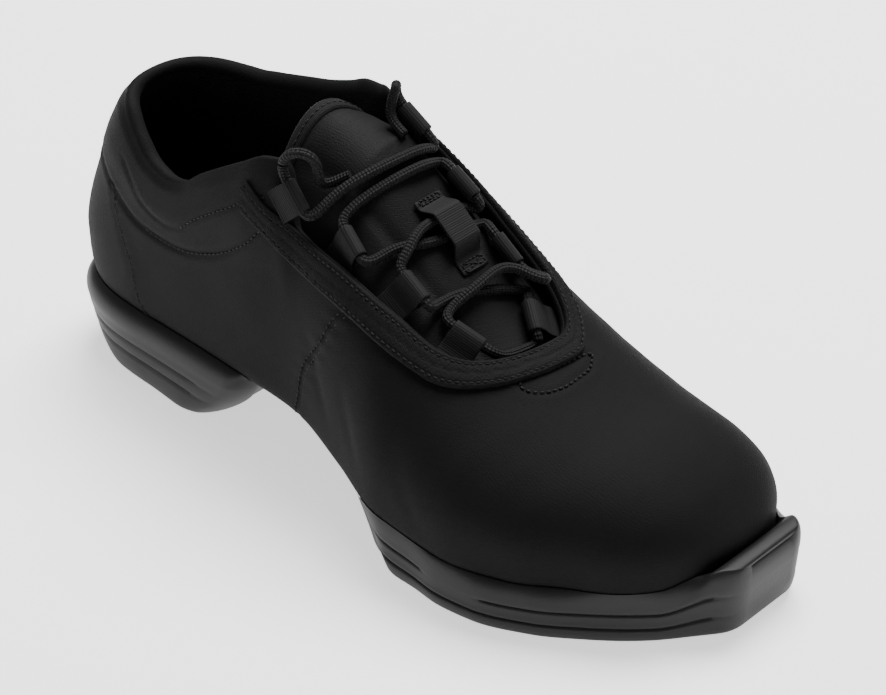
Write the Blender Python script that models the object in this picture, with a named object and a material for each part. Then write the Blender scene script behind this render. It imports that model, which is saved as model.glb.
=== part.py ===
"""A right dance sneaker: canvas upper with a padded collar, split rubber sole, webbing lace tabs and elastic lace.

The toe points along +X, the wearer's left (the medial side) is +Y and the floor is z = 0. Every piece is worked
out from one form, the shape of the foot's last, given as a short table of sections along the shoe.
"""

import math
from collections import namedtuple

import bmesh
import bpy
import numpy as np
from mathutils import Matrix

# The last: lengths in metres
UPPER_LENGTH = 0.256
BALL_WIDTH = 0.0925
INSTEP_HEIGHT = 0.100
HEEL_SEAT = 0.022
FOREFOOT_SEAT = 0.011
COLLAR_HEIGHT = 0.070
HEEL_LEAN = 0.0200
HEEL_UNDERCUT = 0.013
HEEL_BULGE = 0.023

# Walls and clearances
WALL = 0.0020
CLEARANCE = 0.0003
COLLAR_PAD_OUT = 0.0016
COLLAR_PAD_IN = 0.0034
COLLAR_CROWN = 0.0022
EYESTAY_THICKNESS = 0.0012

# Soles
SOLE_LENGTH = 0.262
RUBBER = 0.0024
HEEL_WALL = 0.0035
FOREFOOT_WALL = 0.0050
TOE_WALL = 0.0105
TOE_SPRING = 0.0016
GROOVE = 0.0009

# Inside, tongue and lacing
INSOLE_THICKNESS = 0.0030
TONGUE_THICKNESS = 0.0042
TONGUE_BINDING = 0.0007
TONGUE_REACH = 0.0240
TONGUE_SKEW = 0.14
TONGUE_SLOPE = 0.34
TONGUE_ARCH = 34.0
TONGUE_MIDDLE = -0.002
TAB_THICKNESS = 0.0020
TAB_WIDTH = 0.0105
TAB_ROOT = 0.0021
TAB_DEPTH = 0.0008
TAB_RISE = 0.0028
LACE_DIAMETER = 0.0030
LACE_PLAY = 0.0004
LACE_STUB = 0.0032
LACE_SPACING = 0.0036
KEEPER_WIDTH = 0.0110
KEEPER_THICKNESS = 0.0011
KEEPER_SAG = 9.0

# Shape of the sections: 2 is an ellipse, more is boxier
TOP_POWER = 2.4
BASE_POWER = 5.0
HEEL_ROUND = 0.16
TOE_ROUND = 0.86
CROWN_ROUND = 0.87
ROUND_POWER = 2.3

# One row for each section. along is a share of UPPER_LENGTH. axis, lateral and medial are shares of BALL_WIDTH, the
# half widths counted from the axis. wide and ridge are heights above the seat as shares of INSTEP_HEIGHT. rise is
# how far the seat has climbed from FOREFOOT_SEAT to HEEL_SEAT.
Section = namedtuple("Section", "along axis lateral medial wide ridge rise")
SECTIONS = (
    Section(0.00, 0.000, 0.275, 0.275, 0.22, 1.00, 1.00),
    Section(0.10, 0.000, 0.272, 0.272, 0.20, 1.03, 1.00),
    Section(0.235, 0.005, 0.300, 0.280, 0.18, 1.13, 1.00),
    Section(0.35, 0.038, 0.363, 0.250, 0.165, 1.16, 0.97),
    Section(0.45, 0.086, 0.442, 0.222, 0.156, 0.955, 0.85),
    Section(0.55, 0.108, 0.560, 0.258, 0.144, 0.778, 0.60),
    Section(0.645, 0.103, 0.642, 0.322, 0.142, 0.622, 0.25),
    Section(0.735, 0.092, 0.643, 0.373, 0.145, 0.487, 0.05),
    Section(0.82, 0.090, 0.584, 0.362, 0.140, 0.414, 0.00),
    Section(0.89, 0.094, 0.489, 0.335, 0.135, 0.375, 0.05),
    Section(1.00, 0.097, 0.443, 0.350, 0.110, 0.310, 0.20),
)

# Height of the collar's edge above HEEL_SEAT, as shares of COLLAR_HEIGHT, for each side.
Rim = namedtuple("Rim", "along lateral medial")
COLLAR = (
    Rim(0.000, 1.090, 1.090),
    Rim(0.060, 1.050, 1.090),
    Rim(0.120, 0.955, 1.090),
    Rim(0.165, 0.875, 1.090),
    Rim(0.205, 0.848, 1.110),
    Rim(0.235, 0.866, 1.130),
    Rim(0.264, 0.935, 1.150),
    Rim(0.304, 1.020, 1.180),
    Rim(0.344, 1.100, 1.225),
    Rim(0.377, 1.160, 1.275),
    Rim(0.420, 1.175, 1.290),
)
CORNER_START = 0.398
CORNER_END = 0.438

# Distance of the throat's edge from the axis, as shares of the half width, inside and outside the eyestay.
THROAT_IN = (
    Rim(0.340, 0.870, 0.700),
    Rim(0.391, 0.885, 0.600),
    Rim(0.435, 0.860, 0.560),
    Rim(0.470, 0.840, 0.540),
    Rim(0.523, 0.783, 0.480),
    Rim(0.565, 0.733, 0.450),
    Rim(0.617, 0.650, 0.410),
    Rim(0.660, 0.610, 0.360),
    Rim(0.716, 0.630, 0.300),
)
THROAT_OUT = (
    Rim(0.340, 0.915, 0.840),
    Rim(0.375, 0.928, 0.820),
    Rim(0.433, 0.923, 0.780),
    Rim(0.477, 0.908, 0.740),
    Rim(0.525, 0.875, 0.680),
    Rim(0.573, 0.832, 0.620),
    Rim(0.641, 0.749, 0.530),
    Rim(0.690, 0.700, 0.460),
    Rim(0.744, 0.660, 0.340),
)
THROAT_TIP = 0.716
THROAT_TURN = 0.640
EYESTAY_TIP = 0.744
EYESTAY_TURN = 0.656
EYESTAY_TOP = (0.362, 0.425)
EYESTAY_LIFT = 0.0003

# The forefoot sole's outline: along as shares of SOLE_LENGTH, sides as shares of BALL_WIDTH.
FOREFOOT_OUTLINE = (
    Rim(0.585, -0.480, 0.370),
    Rim(0.630, -0.525, 0.430),
    Rim(0.676, -0.535, 0.478),
    Rim(0.718, -0.550, 0.500),
    Rim(0.763, -0.540, 0.505),
    Rim(0.830, -0.470, 0.480),
    Rim(0.885, -0.368, 0.440),
    Rim(0.939, -0.250, 0.380),
    Rim(0.975, -0.140, 0.320),
    Rim(1.000, -0.055, 0.275),
)
HEEL_FRONT = 0.355
HEEL_BREAST = 0.275

# A sole's side, from the floor up: height as a share of the wall and outset in metres. The two dips are its grooves.
Level = namedtuple("Level", "height outset groove")
SIDE = (
    Level(0.00, -0.0016, 0),
    Level(0.07, -0.0006, 0),
    Level(0.22, 0.0000, 0),
    Level(0.27, 0.0001, 1),
    Level(0.33, 0.0001, 1),
    Level(0.38, 0.0002, 0),
    Level(0.55, 0.0005, 0),
    Level(0.60, 0.0006, 1),
    Level(0.66, 0.0007, 1),
    Level(0.71, 0.0008, 0),
    Level(0.94, 0.0012, 0),
    Level(1.00, 0.0008, 0),
)

# The lace tabs: side is -1 lateral and 1 medial, along is the root's place on the throat's edge, reach the length out
# to the eye and lean the turn towards the toe. The first lateral one lies on the facing, the others come from under it.
Tab = namedtuple("Tab", "side number along reach lean")
TABS = (
    Tab(-1, 1, 0.418, 0.0075, 30),
    Tab(-1, 2, 0.492, 0.0095, 20),
    Tab(-1, 3, 0.580, 0.0100, 10),
    Tab(-1, 4, 0.664, 0.0090, 10),
    Tab(1, 1, 0.451, 0.0080, 0),
    Tab(1, 2, 0.533, 0.0075, 0),
    Tab(1, 3, 0.610, 0.0075, 0),
    Tab(1, 4, 0.697, 0.0100, 0),
)
LYING = 0.44
KEEPER_FROM = 0.530
KEEPER_TO = 0.612
KEEPER_SHARE = -0.10

# The lace's way over the tongue: along, share across the tongue and whether it lies low, on it, or high, over a
# crossing strand. Through passes a tab's eye, to the toe (1) or to the heel (-1); From and Into start and end in the
# middle of an eye. Beside is a place near a tab, in lace diameters along its bore, towards its eye's side and outwards.
Over = namedtuple("Over", "along share high")
Through = namedtuple("Through", "side number way")
From = namedtuple("From", "side number way")
Into = namedtuple("Into", "side number way")
Beside = namedtuple("Beside", "side number run across out")
LOOP = (
    Through(1, 2, -1),
    Over(0.511, 0.42, 0.3),
    Over(0.513, -0.03, 0.8),
    Over(0.493, -0.42, 0.1),
    Through(-1, 2, 1),
    Over(0.545, -0.54, 0),
    Over(0.554, -0.43, 0),
    Over(0.571, -0.27, 0),
    Over(0.578, -0.05, 0),
    Over(0.579, 0.20, 0),
    Over(0.580, 0.46, 0),
    Through(1, 3, 1),
    Over(0.670, 0.45, 1.9),
    Over(0.665, 0.20, 1.8),
    Over(0.629, 0.00, 1.1),
    Over(0.634, -0.24, 1),
    Over(0.628, -0.42, 0),
    Through(-1, 4, 1),
    Over(0.698, -0.36, 0),
    Over(0.706, -0.05, 0),
    Through(1, 4, -1),
    Over(0.662, 0.30, 0.0),
    Over(0.650, 0.05, 0),
    Over(0.624, -0.28, 0),
    Over(0.616, -0.53, 0.1),
    Through(-1, 3, -1),
    Over(0.569, -0.47, 1),
    Over(0.560, -0.32, 1),
    Over(0.556, -0.16, 0),
    Over(0.557, 0.10, 0),
    Over(0.569, 0.42, 0.2),
)
BAR = (
    From(-1, 1, 1),
    Over(0.470, -0.52, 0.6),
    Over(0.489, -0.27, 0.6),
    Over(0.498, 0.03, 0.6),
    Over(0.499, 0.30, 0.6),
    Over(0.499, 0.50, 0.6),
    Into(1, 1, -1),
)
END_LATERAL = (
    From(-1, 1, -1),
    Beside(-1, 1, -3.9, 0.9, 0.4),
    Beside(-1, 1, -3.8, 2.8, 0.8),
    Beside(-1, 1, -2.2, 4.2, 0.2),
    Over(0.440, -0.56, 0.6),
    Over(0.456, -0.47, 0),
    Over(0.466, -0.41, 0),
)
END_MEDIAL = (
    From(1, 1, -1),
    Beside(1, 1, -3.8, 1.0, 0.1),
    Beside(1, 1, -3.7, 3.4, 0.1),
    Over(0.442, 0.10, 0.4),
    Over(0.460, 0.04, 0.2),
    Over(0.476, 0.02, 0.2),
)

# The tongue's edges, as shares of the half width, tucked under the throat's edges.
TONGUE = (
    Rim(0.460, 0.930, 0.740),
    Rim(0.525, 0.880, 0.660),
    Rim(0.600, 0.790, 0.600),
    Rim(0.680, 0.730, 0.520),
    Rim(0.745, 0.600, 0.400),
)
TONGUE_TURN = 0.470
TONGUE_ROOT = 0.738

FABRIC = ("black canvas", (0.016, 0.016, 0.017), 0.85)
PADDING = ("black knit", (0.012, 0.012, 0.013), 0.9)
SOLE_RUBBER = ("charcoal rubber", (0.045, 0.045, 0.047), 0.6)
WEBBING = ("black webbing", (0.014, 0.014, 0.015), 0.75)


def smooth(at, xs, ys):
    """A cubic through the points, with its slopes limited so that it never overshoots."""
    at, xs, ys = (np.asarray(v, float) for v in (at, xs, ys))
    step = np.diff(xs)
    rise = np.diff(ys) / step
    slope = np.zeros_like(ys)
    turns = rise[:-1] * rise[1:]
    total = np.where(turns > 0, rise[:-1] + rise[1:], 1.0)
    slope[1:-1] = np.where(turns > 0, 2 * turns / total, 0.0)
    slope[0], slope[-1] = rise[0], rise[-1]
    i = np.clip(np.searchsorted(xs, at) - 1, 0, len(step) - 1)
    t = np.clip((at - xs[i]) / step[i], 0, 1)
    low = ys[i] * (1 + 2 * t) * (1 - t) ** 2 + slope[i] * step[i] * t * (1 - t) ** 2
    high = ys[i + 1] * t * t * (3 - 2 * t) + slope[i + 1] * step[i] * t * t * (t - 1)
    return low + high


def read(table, field, along):
    """One column of a table, at these places along the shoe."""
    return smooth(along, [row.along for row in table], [getattr(row, field) for row in table])


def both(table, along, side):
    """The lateral column where side is negative and the medial one where it is positive."""
    return np.where(np.asarray(side) < 0, read(table, "lateral", along), read(table, "medial", along))


def step_up(value, start, end):
    """A smooth step from 0 at start to 1 at end."""
    t = np.clip((np.asarray(value, float) - start) / (end - start), 0, 1)
    return t * t * (3 - 2 * t)


def closing(along, start, power):
    """1 up to start, then a round fall to 0 at the tip."""
    t = np.clip((np.asarray(along, float) - start) / (1 - start), 0, 1)
    return np.maximum(1 - t**power, 0) ** (1 / power)


def seat(along):
    """Height of the upper's underside."""
    return FOREFOOT_SEAT + (HEEL_SEAT - FOREFOOT_SEAT) * read(SECTIONS, "rise", along)


def widest(along):
    """Height at which a section is widest."""
    return seat(along) + INSTEP_HEIGHT * read(SECTIONS, "wide", along)


def ridge(along):
    """Height of the section's top, which the throat and collar cut off."""
    full = seat(along) + INSTEP_HEIGHT * read(SECTIONS, "ridge", along)
    return widest(along) + (full - widest(along)) * closing(along, CROWN_ROUND, ROUND_POWER)


def skin(along, angle, side, grow=0.0):
    """Points of the last's surface, grown by a distance. angle is -90 degrees underneath, 0 at the widest and 90
    at the ridge; side is -1 for lateral and 1 for medial."""
    along, angle, side, grow = np.broadcast_arrays(*(np.asarray(v, float) for v in (along, angle, side, grow)))
    heel = 1 - np.clip(1 - along / HEEL_ROUND, 0, 1) ** ROUND_POWER
    ends = heel ** (1 / ROUND_POWER) * closing(along, TOE_ROUND, ROUND_POWER)
    half = (BALL_WIDTH * both(SECTIONS, along, side) + grow) * ends
    top = ridge(along) + grow
    wide = widest(along)
    low = wide - (wide - seat(along)) * closing(along, TOE_ROUND, 2 * ROUND_POWER) - grow
    power = np.where(angle > 0, TOP_POWER, BASE_POWER)
    rise = np.abs(np.sin(angle)) ** (2 / power)
    z = wide + np.where(angle > 0, top - wide, low - wide) * rise
    y = BALL_WIDTH * read(SECTIONS, "axis", along) + side * half * np.maximum(np.cos(angle), 0) ** (2 / power)
    above = (z - HEEL_SEAT - HEEL_BULGE) / (COLLAR_HEIGHT - HEEL_BULGE)
    lean = np.where(above > 0, HEEL_LEAN * np.abs(above) ** 1.35, HEEL_UNDERCUT * above**2)
    x = -grow + along * (UPPER_LENGTH + 2 * grow) + lean * np.clip(1 - along / CORNER_START, 0, 1) ** 2
    return np.stack([x, y, z], -1)


def gap_angle(along, side, table, turn, tip):
    """The angle at which the throat's edge, or the eyestay's, lies."""
    t = np.clip((along - turn) / (tip - turn), 0, 1)
    share = both(table, along, side) * np.sqrt(1 - t * t)
    return np.arccos(np.clip(share, 0, 1) ** (TOP_POWER / 2))


def rim_angle(along, side):
    """The angle of the opening's edge: the collar at the back, then the throat, then none."""
    along = np.asarray(along, float)
    edge = HEEL_SEAT + COLLAR_HEIGHT * both(COLLAR, along, side)
    share = np.clip((edge - widest(along)) / np.maximum(ridge(along) - widest(along), 1e-6), 0, 1)
    collar = np.arcsin(share ** (TOP_POWER / 2))
    throat = gap_angle(along, side, THROAT_IN, THROAT_TURN, THROAT_TIP)
    mix = step_up(along, CORNER_START, CORNER_END)
    return np.where(along >= THROAT_TIP, math.pi / 2, collar * (1 - mix) + throat * mix)


def padding(along, angle, side):
    """How thick the collar's padding is here, from 0 to 1."""
    t = angle / rim_angle(along, side)
    return step_up(t, 0.35, 0.70) * (1 - step_up(along, CORNER_START, CORNER_END + 0.01))


def upper_skin(along, angle, side, grow=0.0):
    """The upper's outer face, with the collar's padding."""
    return skin(along, angle, side, grow + COLLAR_PAD_OUT * padding(along, angle, side))


def spread(start, end, count, ends):
    """Places from start to end, drawn together at the start, the end or neither."""
    t = np.linspace(0, 1, count, endpoint=False)
    if ends == "start":
        t = 1 - np.cos(t * math.pi / 2)
    if ends == "end":
        t = np.sin(t * math.pi / 2)
    return start + (end - start) * t


def stations():
    """Places of the upper's sections, closer where it turns."""
    return np.concatenate(
        [
            spread(0.0, HEEL_ROUND, 5, "start"),
            spread(HEEL_ROUND, CORNER_START, 7, "even"),
            spread(CORNER_START, CORNER_END, 5, "even"),
            spread(CORNER_END, THROAT_TURN, 5, "even"),
            spread(THROAT_TURN, THROAT_TIP, 5, "end"),
            spread(THROAT_TIP, TOE_ROUND, 4, "even"),
            spread(TOE_ROUND, 1.0, 6, "end"),
            [1.0],
        ]
    )


LOW_ANGLES = np.radians([-90, -76, -60, -44, -28, -12])
TOP_ROWS = 9


def rows(along, side):
    """Angles from under the foot up to the opening's edge, for each station."""
    top = np.linspace(0, 1, TOP_ROWS) * rim_angle(along, side)[:, None]
    low = np.broadcast_to(LOW_ANGLES, (len(along), len(LOW_ANGLES)))
    return np.concatenate([low, top], 1)


def material(finish):
    """One Principled material for each finish, made once."""
    name, colour, roughness = finish
    found = bpy.data.materials.get(name)
    if found:
        return found
    made = bpy.data.materials.new(name)
    made.use_nodes = True
    shader = made.node_tree.nodes["Principled BSDF"]
    shader.inputs["Base Color"].default_value = (*colour, 1.0)
    shader.inputs["Roughness"].default_value = roughness
    shader.inputs["Metallic"].default_value = 0.0
    return made


def add_object(name, mesh_builder, finish, sharp_degrees=40):
    """Turns a bmesh into a named object with its finish."""
    mesh = bpy.data.meshes.new(name)
    mesh_builder.to_mesh(mesh)
    mesh_builder.free()
    mesh.shade_smooth()
    mesh.set_sharp_from_angle(angle=math.radians(sharp_degrees))
    mesh.materials.append(material(finish))
    made = bpy.data.objects.new(name, mesh)
    bpy.context.scene.collection.objects.link(made)
    return made


def close_mesh(builder):
    """Welds what coincides and turns every face outwards."""
    bmesh.ops.remove_doubles(builder, verts=builder.verts, dist=1e-6)
    bmesh.ops.dissolve_degenerate(builder, edges=builder.edges, dist=1e-7)
    bmesh.ops.recalc_face_normals(builder, faces=builder.faces)


def add_grid(builder, points, keep=None, flip=False):
    """Adds a grid of points, shape (m, n, 3), as quads, leaving out those that keep calls False."""
    m, n = points.shape[:2]
    verts = [builder.verts.new(p) for p in points.reshape(-1, 3)]
    for i in range(m - 1):
        for j in range(n - 1):
            if keep is None or keep[i, j]:
                ring = [verts[i * n + j], verts[(i + 1) * n + j], verts[(i + 1) * n + j + 1], verts[i * n + j + 1]]
                builder.faces.new(ring[::-1] if flip else ring)
    return verts


def loft(rings):
    """A closed solid through rings of equal count, with flat ends."""
    builder = bmesh.new()
    made = [[builder.verts.new(p) for p in ring] for ring in rings]
    count = len(made[0])
    for low, high in zip(made, made[1:]):
        for i in range(count):
            j = (i + 1) % count
            builder.faces.new([low[i], low[j], high[j], high[i]])
    builder.faces.new(made[0][::-1])
    builder.faces.new(made[-1])
    close_mesh(builder)
    return builder


def shell(outer, inner):
    """A solid sheet between two grids of one size, closed round its border."""
    border = lambda g: np.concatenate([g[0, :-1], g[:-1, -1], g[-1, :0:-1], g[:0:-1, 0]])
    builder = bmesh.new()
    add_grid(builder, outer)
    add_grid(builder, inner, flip=True)
    edge = np.stack([border(outer), border(inner)], 1)
    add_grid(builder, np.concatenate([edge, edge[:1]]))
    close_mesh(builder)
    return builder


def form_solid(name, grow, start=0.0):
    """The whole last as one closed solid, used only as a cutter."""
    along = stations()
    builder = bmesh.new()
    for side in (-1, 1):
        angle = np.concatenate([np.broadcast_to(LOW_ANGLES, (len(along), 6)), np.zeros((len(along), 1))], 1)
        add_grid(builder, skin(along[:, None], angle, side, grow))
    lid_height = max(widest(along)) + grow
    made = [[skin(along, 0.0, side, grow)] for side in (-1, 1)]
    low = np.stack([made[0][0], made[1][0]], 1)
    high = low.copy()
    high[:, :, 2] = lid_height + 0.01
    add_grid(builder, np.stack([low[:, 0], high[:, 0]], 1))
    add_grid(builder, np.stack([low[:, 1], high[:, 1]], 1))
    add_grid(builder, high)
    close_mesh(builder)
    made = add_object(name, builder, SOLE_RUBBER)
    made.hide_render = True
    made.display_type = "WIRE"
    return made


def cut(target, cutter):
    """Cuts one object by another."""
    modifier = target.modifiers.new("cut " + cutter.name, "BOOLEAN")
    modifier.object = cutter
    modifier.operation = "DIFFERENCE"
    modifier.solver = "EXACT"


def make_upper():
    """One hollow canvas shell, open at the collar and throat and, inside the lasting margin, over each sole."""
    along = stations()
    builder = bmesh.new()
    open_top = along[:-1] < THROAT_TIP - 1e-6
    heel_hole = (along[:-1] > 0.035) & (along[1:] < HEEL_FRONT - 0.02)
    fore_hole = (along[:-1] > 0.64) & (along[1:] < 0.97)
    for side in (-1, 1):
        angle = rows(along, side)
        at = along[:, None]
        pad = padding(at, angle, side)
        outer = upper_skin(at, angle, side)
        inner = skin(at, angle, side, -WALL - COLLAR_PAD_IN * pad)
        crown = (outer[:, -1] + inner[:, -1]) / 2
        crown[:, 2] += COLLAR_CROWN * pad[:, -1]
        points = np.concatenate([outer, crown[:, None], inner[:, ::-1]], 1)
        keep = np.ones((len(along) - 1, points.shape[1] - 1), bool)
        last = angle.shape[1] - 1
        keep[~open_top, last : last + 2] = False
        for hole in (heel_hole, fore_hole):
            keep[hole, :2] = False
            keep[hole, -2:] = False
        add_grid(builder, points, keep, flip=side > 0)
    bmesh.ops.remove_doubles(builder, verts=builder.verts, dist=1e-6)
    loose = [v for v in builder.verts if not v.link_faces]
    bmesh.ops.delete(builder, geom=loose, context="VERTS")
    middle = UPPER_LENGTH * (HEEL_FRONT + THROAT_TURN) / 2
    for ahead in (False, True):
        edges = [e for e in builder.edges if e.is_boundary and (e.verts[0].co.x > middle) == ahead]
        bmesh.ops.bridge_loops(builder, edges=edges)
    close_mesh(builder)
    return add_object("upper", builder, FABRIC)


def sole_side(outline, top, bottom, fade):
    """Grids for a sole's two walls: outline has shape (stations, 2 sides, xy), top and bottom are heights."""
    grids = []
    for k in (0, 1):
        line = outline[:, k]
        run = np.gradient(line, axis=0)
        run /= np.linalg.norm(run, axis=1)[:, None]
        out = np.stack([run[:, 1], -run[:, 0]], 1) * (1 if k == 0 else -1)
        height = np.array([level.height for level in SIDE])
        outset = np.array([level.outset for level in SIDE]) - GROOVE * fade[:, None] * [
            level.groove for level in SIDE
        ]
        flat = line[:, None] + out[:, None] * outset[:, :, None]
        z = bottom[:, None] + (top - bottom)[:, None] * height
        grids.append(np.concatenate([flat, z[:, :, None]], 2))
    return grids


def sole_solid(lateral, medial):
    """Closes two wall grids, stations by levels, into one solid."""
    builder = bmesh.new()
    add_grid(builder, lateral)
    add_grid(builder, medial, flip=True)
    for row in (0, -1):
        add_grid(builder, np.stack([lateral[:, row], medial[:, row]], 1))
    for end in (0, -1):
        add_grid(builder, np.stack([lateral[end], medial[end]], 1))
    close_mesh(builder)
    return builder


def make_heel_sole(cutter):
    """The rubber heel block, cupping the upper, its breast raked and its back edge rolled up."""
    along = np.concatenate([spread(0.0, HEEL_ROUND, 7, "start"), np.linspace(HEEL_ROUND, HEEL_FRONT, 9)])
    outline = np.stack([skin(along, -0.35, side)[:, :2] for side in (-1, 1)], 1)
    for k in (0, 1):
        run = np.gradient(outline[:, k], axis=0)
        run /= np.linalg.norm(run, axis=1)[:, None]
        out = np.stack([run[:, 1], -run[:, 0]], 1) * (1 if k == 0 else -1)
        out[0] = (-1, 0)
        outline[:, k] += out * RUBBER
    outline[0, :, 1] = 0
    top = seat(along) + HEEL_WALL
    roll = HEEL_SEAT * 0.22 * (1 - step_up(along, 0.0, 0.09))
    fade = step_up(along, 0.01, 0.05) * (1 - step_up(along, 0.27, 0.33))
    walls = sole_side(outline, top, roll, fade)
    rake = step_up(along, 0.12, HEEL_FRONT)
    height = np.array([level.height for level in SIDE])
    shift = (HEEL_FRONT - HEEL_BREAST) * UPPER_LENGTH * rake[:, None] * (1 - height) ** 1.6
    tuck = 0.0045 * (1 - step_up(along, 0.0, 0.20))[:, None] * (1 - height) ** 1.3
    for wall in walls:
        wall[:, :, 0] += tuck - shift
        wall[:, :, 1] *= 1 - 0.05 * (1 - height) ** 1.5
        wall[:, :, 1] *= 1 - 0.22 * (1 - height) * np.clip((along - 0.26) / 0.095, 0, 1)[:, None] ** 3
    made = add_object("heel_sole", sole_solid(*walls), SOLE_RUBBER)
    cut(made, cutter)
    return made


def make_forefoot_sole(cutter):
    """The forefoot's rubber sole with its square toe block."""
    along = np.concatenate([np.linspace(0.585, 0.885, 12)[:-1], np.linspace(0.885, 1.0, 9)])
    x = along * SOLE_LENGTH
    sides = [BALL_WIDTH * read(FOREFOOT_OUTLINE, field, along) for field in ("lateral", "medial")]
    outline = np.stack([np.stack([x, y], 1) for y in sides], 1)
    place = np.clip(x / UPPER_LENGTH, 0, 1)
    top = seat(place) + FOREFOOT_WALL + (TOE_WALL - FOREFOOT_WALL) * step_up(along, 0.93, 0.995)
    bottom = TOE_SPRING * (step_up(along, 0.88, 1.0) + step_up(-along, -0.65, -0.585))
    fade = step_up(along, 0.60, 0.64) * (1 - step_up(along, 0.955, 0.975))
    walls = sole_side(outline, top, bottom, fade)
    height = np.array([level.height for level in SIDE])
    front = SOLE_LENGTH
    for wall in walls:
        wall[-1, :, 0] = front
        wall[:, :, 0] += 0.006 * (1 - height) * (1 - step_up(along, 0.585, 0.66))[:, None]
    made = add_object("forefoot_sole", sole_solid(*walls), SOLE_RUBBER)
    cut(made, cutter)
    return made


def make_insole():
    """A thin padded sheet on the upper's floor, inside its walls."""
    along = stations()
    along = along[(along > 0.01) & (along < 0.965)]
    inset = -WALL - CLEARANCE
    roof = seat(along) - inset + INSOLE_THICKNESS
    depth = widest(along) - seat(along) + inset
    top = -np.arcsin(np.clip((widest(along) - roof) / depth, 0, 1) ** (BASE_POWER / 2))
    share = np.linspace(0, 1, 6)
    low = -math.pi / 2 + (top[:, None] + math.pi / 2) * share
    half = [skin(along[:, None], low, side, inset - CLEARANCE) for side in (-1, 1)]
    rings = np.concatenate([half[0][:, :0:-1], half[1]], 1)
    return add_object("insole", loft(rings), PADDING)


def make_eyestay():
    """The stitched band round the throat, lying on the upper."""
    turn = np.sin(np.linspace(0, 1, 22) * math.pi / 2)
    strips = []
    for side, top in zip((-1, 1), EYESTAY_TOP):
        inner_at = top + (THROAT_TIP - top) * turn
        outer_at = top + (EYESTAY_TIP - top) * turn
        inner = gap_angle(inner_at, side, THROAT_IN, THROAT_TURN, THROAT_TIP)
        outer = gap_angle(outer_at, side, THROAT_OUT, EYESTAY_TURN, EYESTAY_TIP)
        t = np.linspace(0, 1, 5)
        at = inner_at[:, None] * (1 - t) + outer_at[:, None] * t
        angle = inner[:, None] * (1 - t) + outer[:, None] * t
        lift = CLEARANCE + EYESTAY_LIFT
        strips.append([upper_skin(at, angle, side, lift + d) for d in (EYESTAY_THICKNESS, 0.0)])
    outer = np.concatenate([strips[0][0], strips[1][0][-2::-1]])
    inner = np.concatenate([strips[0][1], strips[1][1][-2::-1]])
    return add_object("eyestay", shell(outer, inner), FABRIC)


def tongue_points(along, share, grow=0.0):
    """The tongue's outer face. share runs from -1, the lateral edge, to 1, the medial edge. Above TONGUE_TURN the
    tongue leaves the last and runs on straight, arching over the instep."""
    along, share, grow = np.broadcast_arrays(*(np.asarray(v, float) for v in (along, share, grow)))
    held = np.maximum(along, TONGUE_TURN)
    side = np.where(share < 0, -1.0, 1.0)
    edge = np.arccos(np.clip(both(TONGUE, held, side), 0, 1) ** (TOP_POWER / 2))
    angle = math.pi / 2 - (math.pi / 2 - edge) * np.abs(share)
    under = WALL + TAB_DEPTH + TAB_THICKNESS + 3 * CLEARANCE
    points = skin(held, angle, side, grow - under)
    free = (held - along) * UPPER_LENGTH
    points[..., 0] -= free
    arch = TONGUE_ARCH * (points[..., 1] - TONGUE_MIDDLE) ** 2
    points[..., 2] += TONGUE_SLOPE * free - arch * np.clip(free / TONGUE_REACH, 0, 1)
    return points


def make_tongue():
    """The padded tongue, bound along its round top."""
    share = np.sin(np.linspace(-1, 1, 17) * math.pi / 2)
    held = np.linspace(TONGUE_ROOT, TONGUE_TURN, 13)
    crown = np.maximum(1 - np.abs(share) ** 2.3, 0.0) ** (1 / 2.1)
    reach = TONGUE_REACH / UPPER_LENGTH * (0.45 + 0.55 * crown) * (1 - TONGUE_SKEW * share)
    free = np.array([0.2, 0.4, 0.6, 0.78, 0.82, 1.0])
    at = np.concatenate([np.broadcast_to(held[:, None], (13, 17)), TONGUE_TURN - free[:, None] * reach])
    bound = np.concatenate([np.zeros(13), np.where(free > 0.8, TONGUE_BINDING, 0.0)])[:, None]
    outer = tongue_points(at, share, bound)
    inner = tongue_points(at, share, -TONGUE_THICKNESS - bound)
    return add_object("tongue", shell(outer, inner), PADDING)


def unit(v):
    """The vector at length 1."""
    return v / np.linalg.norm(v)


def tab_frame(tab):
    """A lace tab's root, and its directions along the eye, towards the eye and outwards."""

    def base(at, turned=0.0):
        """A point of the tab's middle layer, at the edge it comes from."""
        if tab.along < LYING:
            angle = gap_angle(at, tab.side, THROAT_IN, THROAT_TURN, THROAT_TIP) + math.radians(2) + turned
            return upper_skin(at, angle, tab.side, 8 * CLEARANCE + TAB_THICKNESS / 2)
        depth = WALL + CLEARANCE + TAB_DEPTH + TAB_THICKNESS / 2
        return skin(at, rim_angle(at, tab.side) + turned, tab.side, -depth)

    root = base(tab.along)
    run = unit(base(tab.along + 0.012) - base(tab.along - 0.012))
    across = base(tab.along, math.radians(10)) - root
    across = unit(across - run * (across @ run))
    lean = math.radians(tab.lean)
    run, across = run * math.cos(lean) - across * math.sin(lean), across * math.cos(lean) + run * math.sin(lean)
    out = unit(np.cross(run, across) * -tab.side)
    if out[2] < 0:
        out = -out
    tilt = 0.0 if tab.along < LYING else math.asin(TAB_RISE / tab.reach)
    return root, run, across * math.cos(tilt) + out * math.sin(tilt), out * math.cos(tilt) - across * math.sin(tilt)


def tab_eye(tab):
    """Centre of a tab's eye and the direction of its bore, towards the toe."""
    root, run, across, _ = tab_frame(tab)
    return root + across * tab.reach, run


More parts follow.
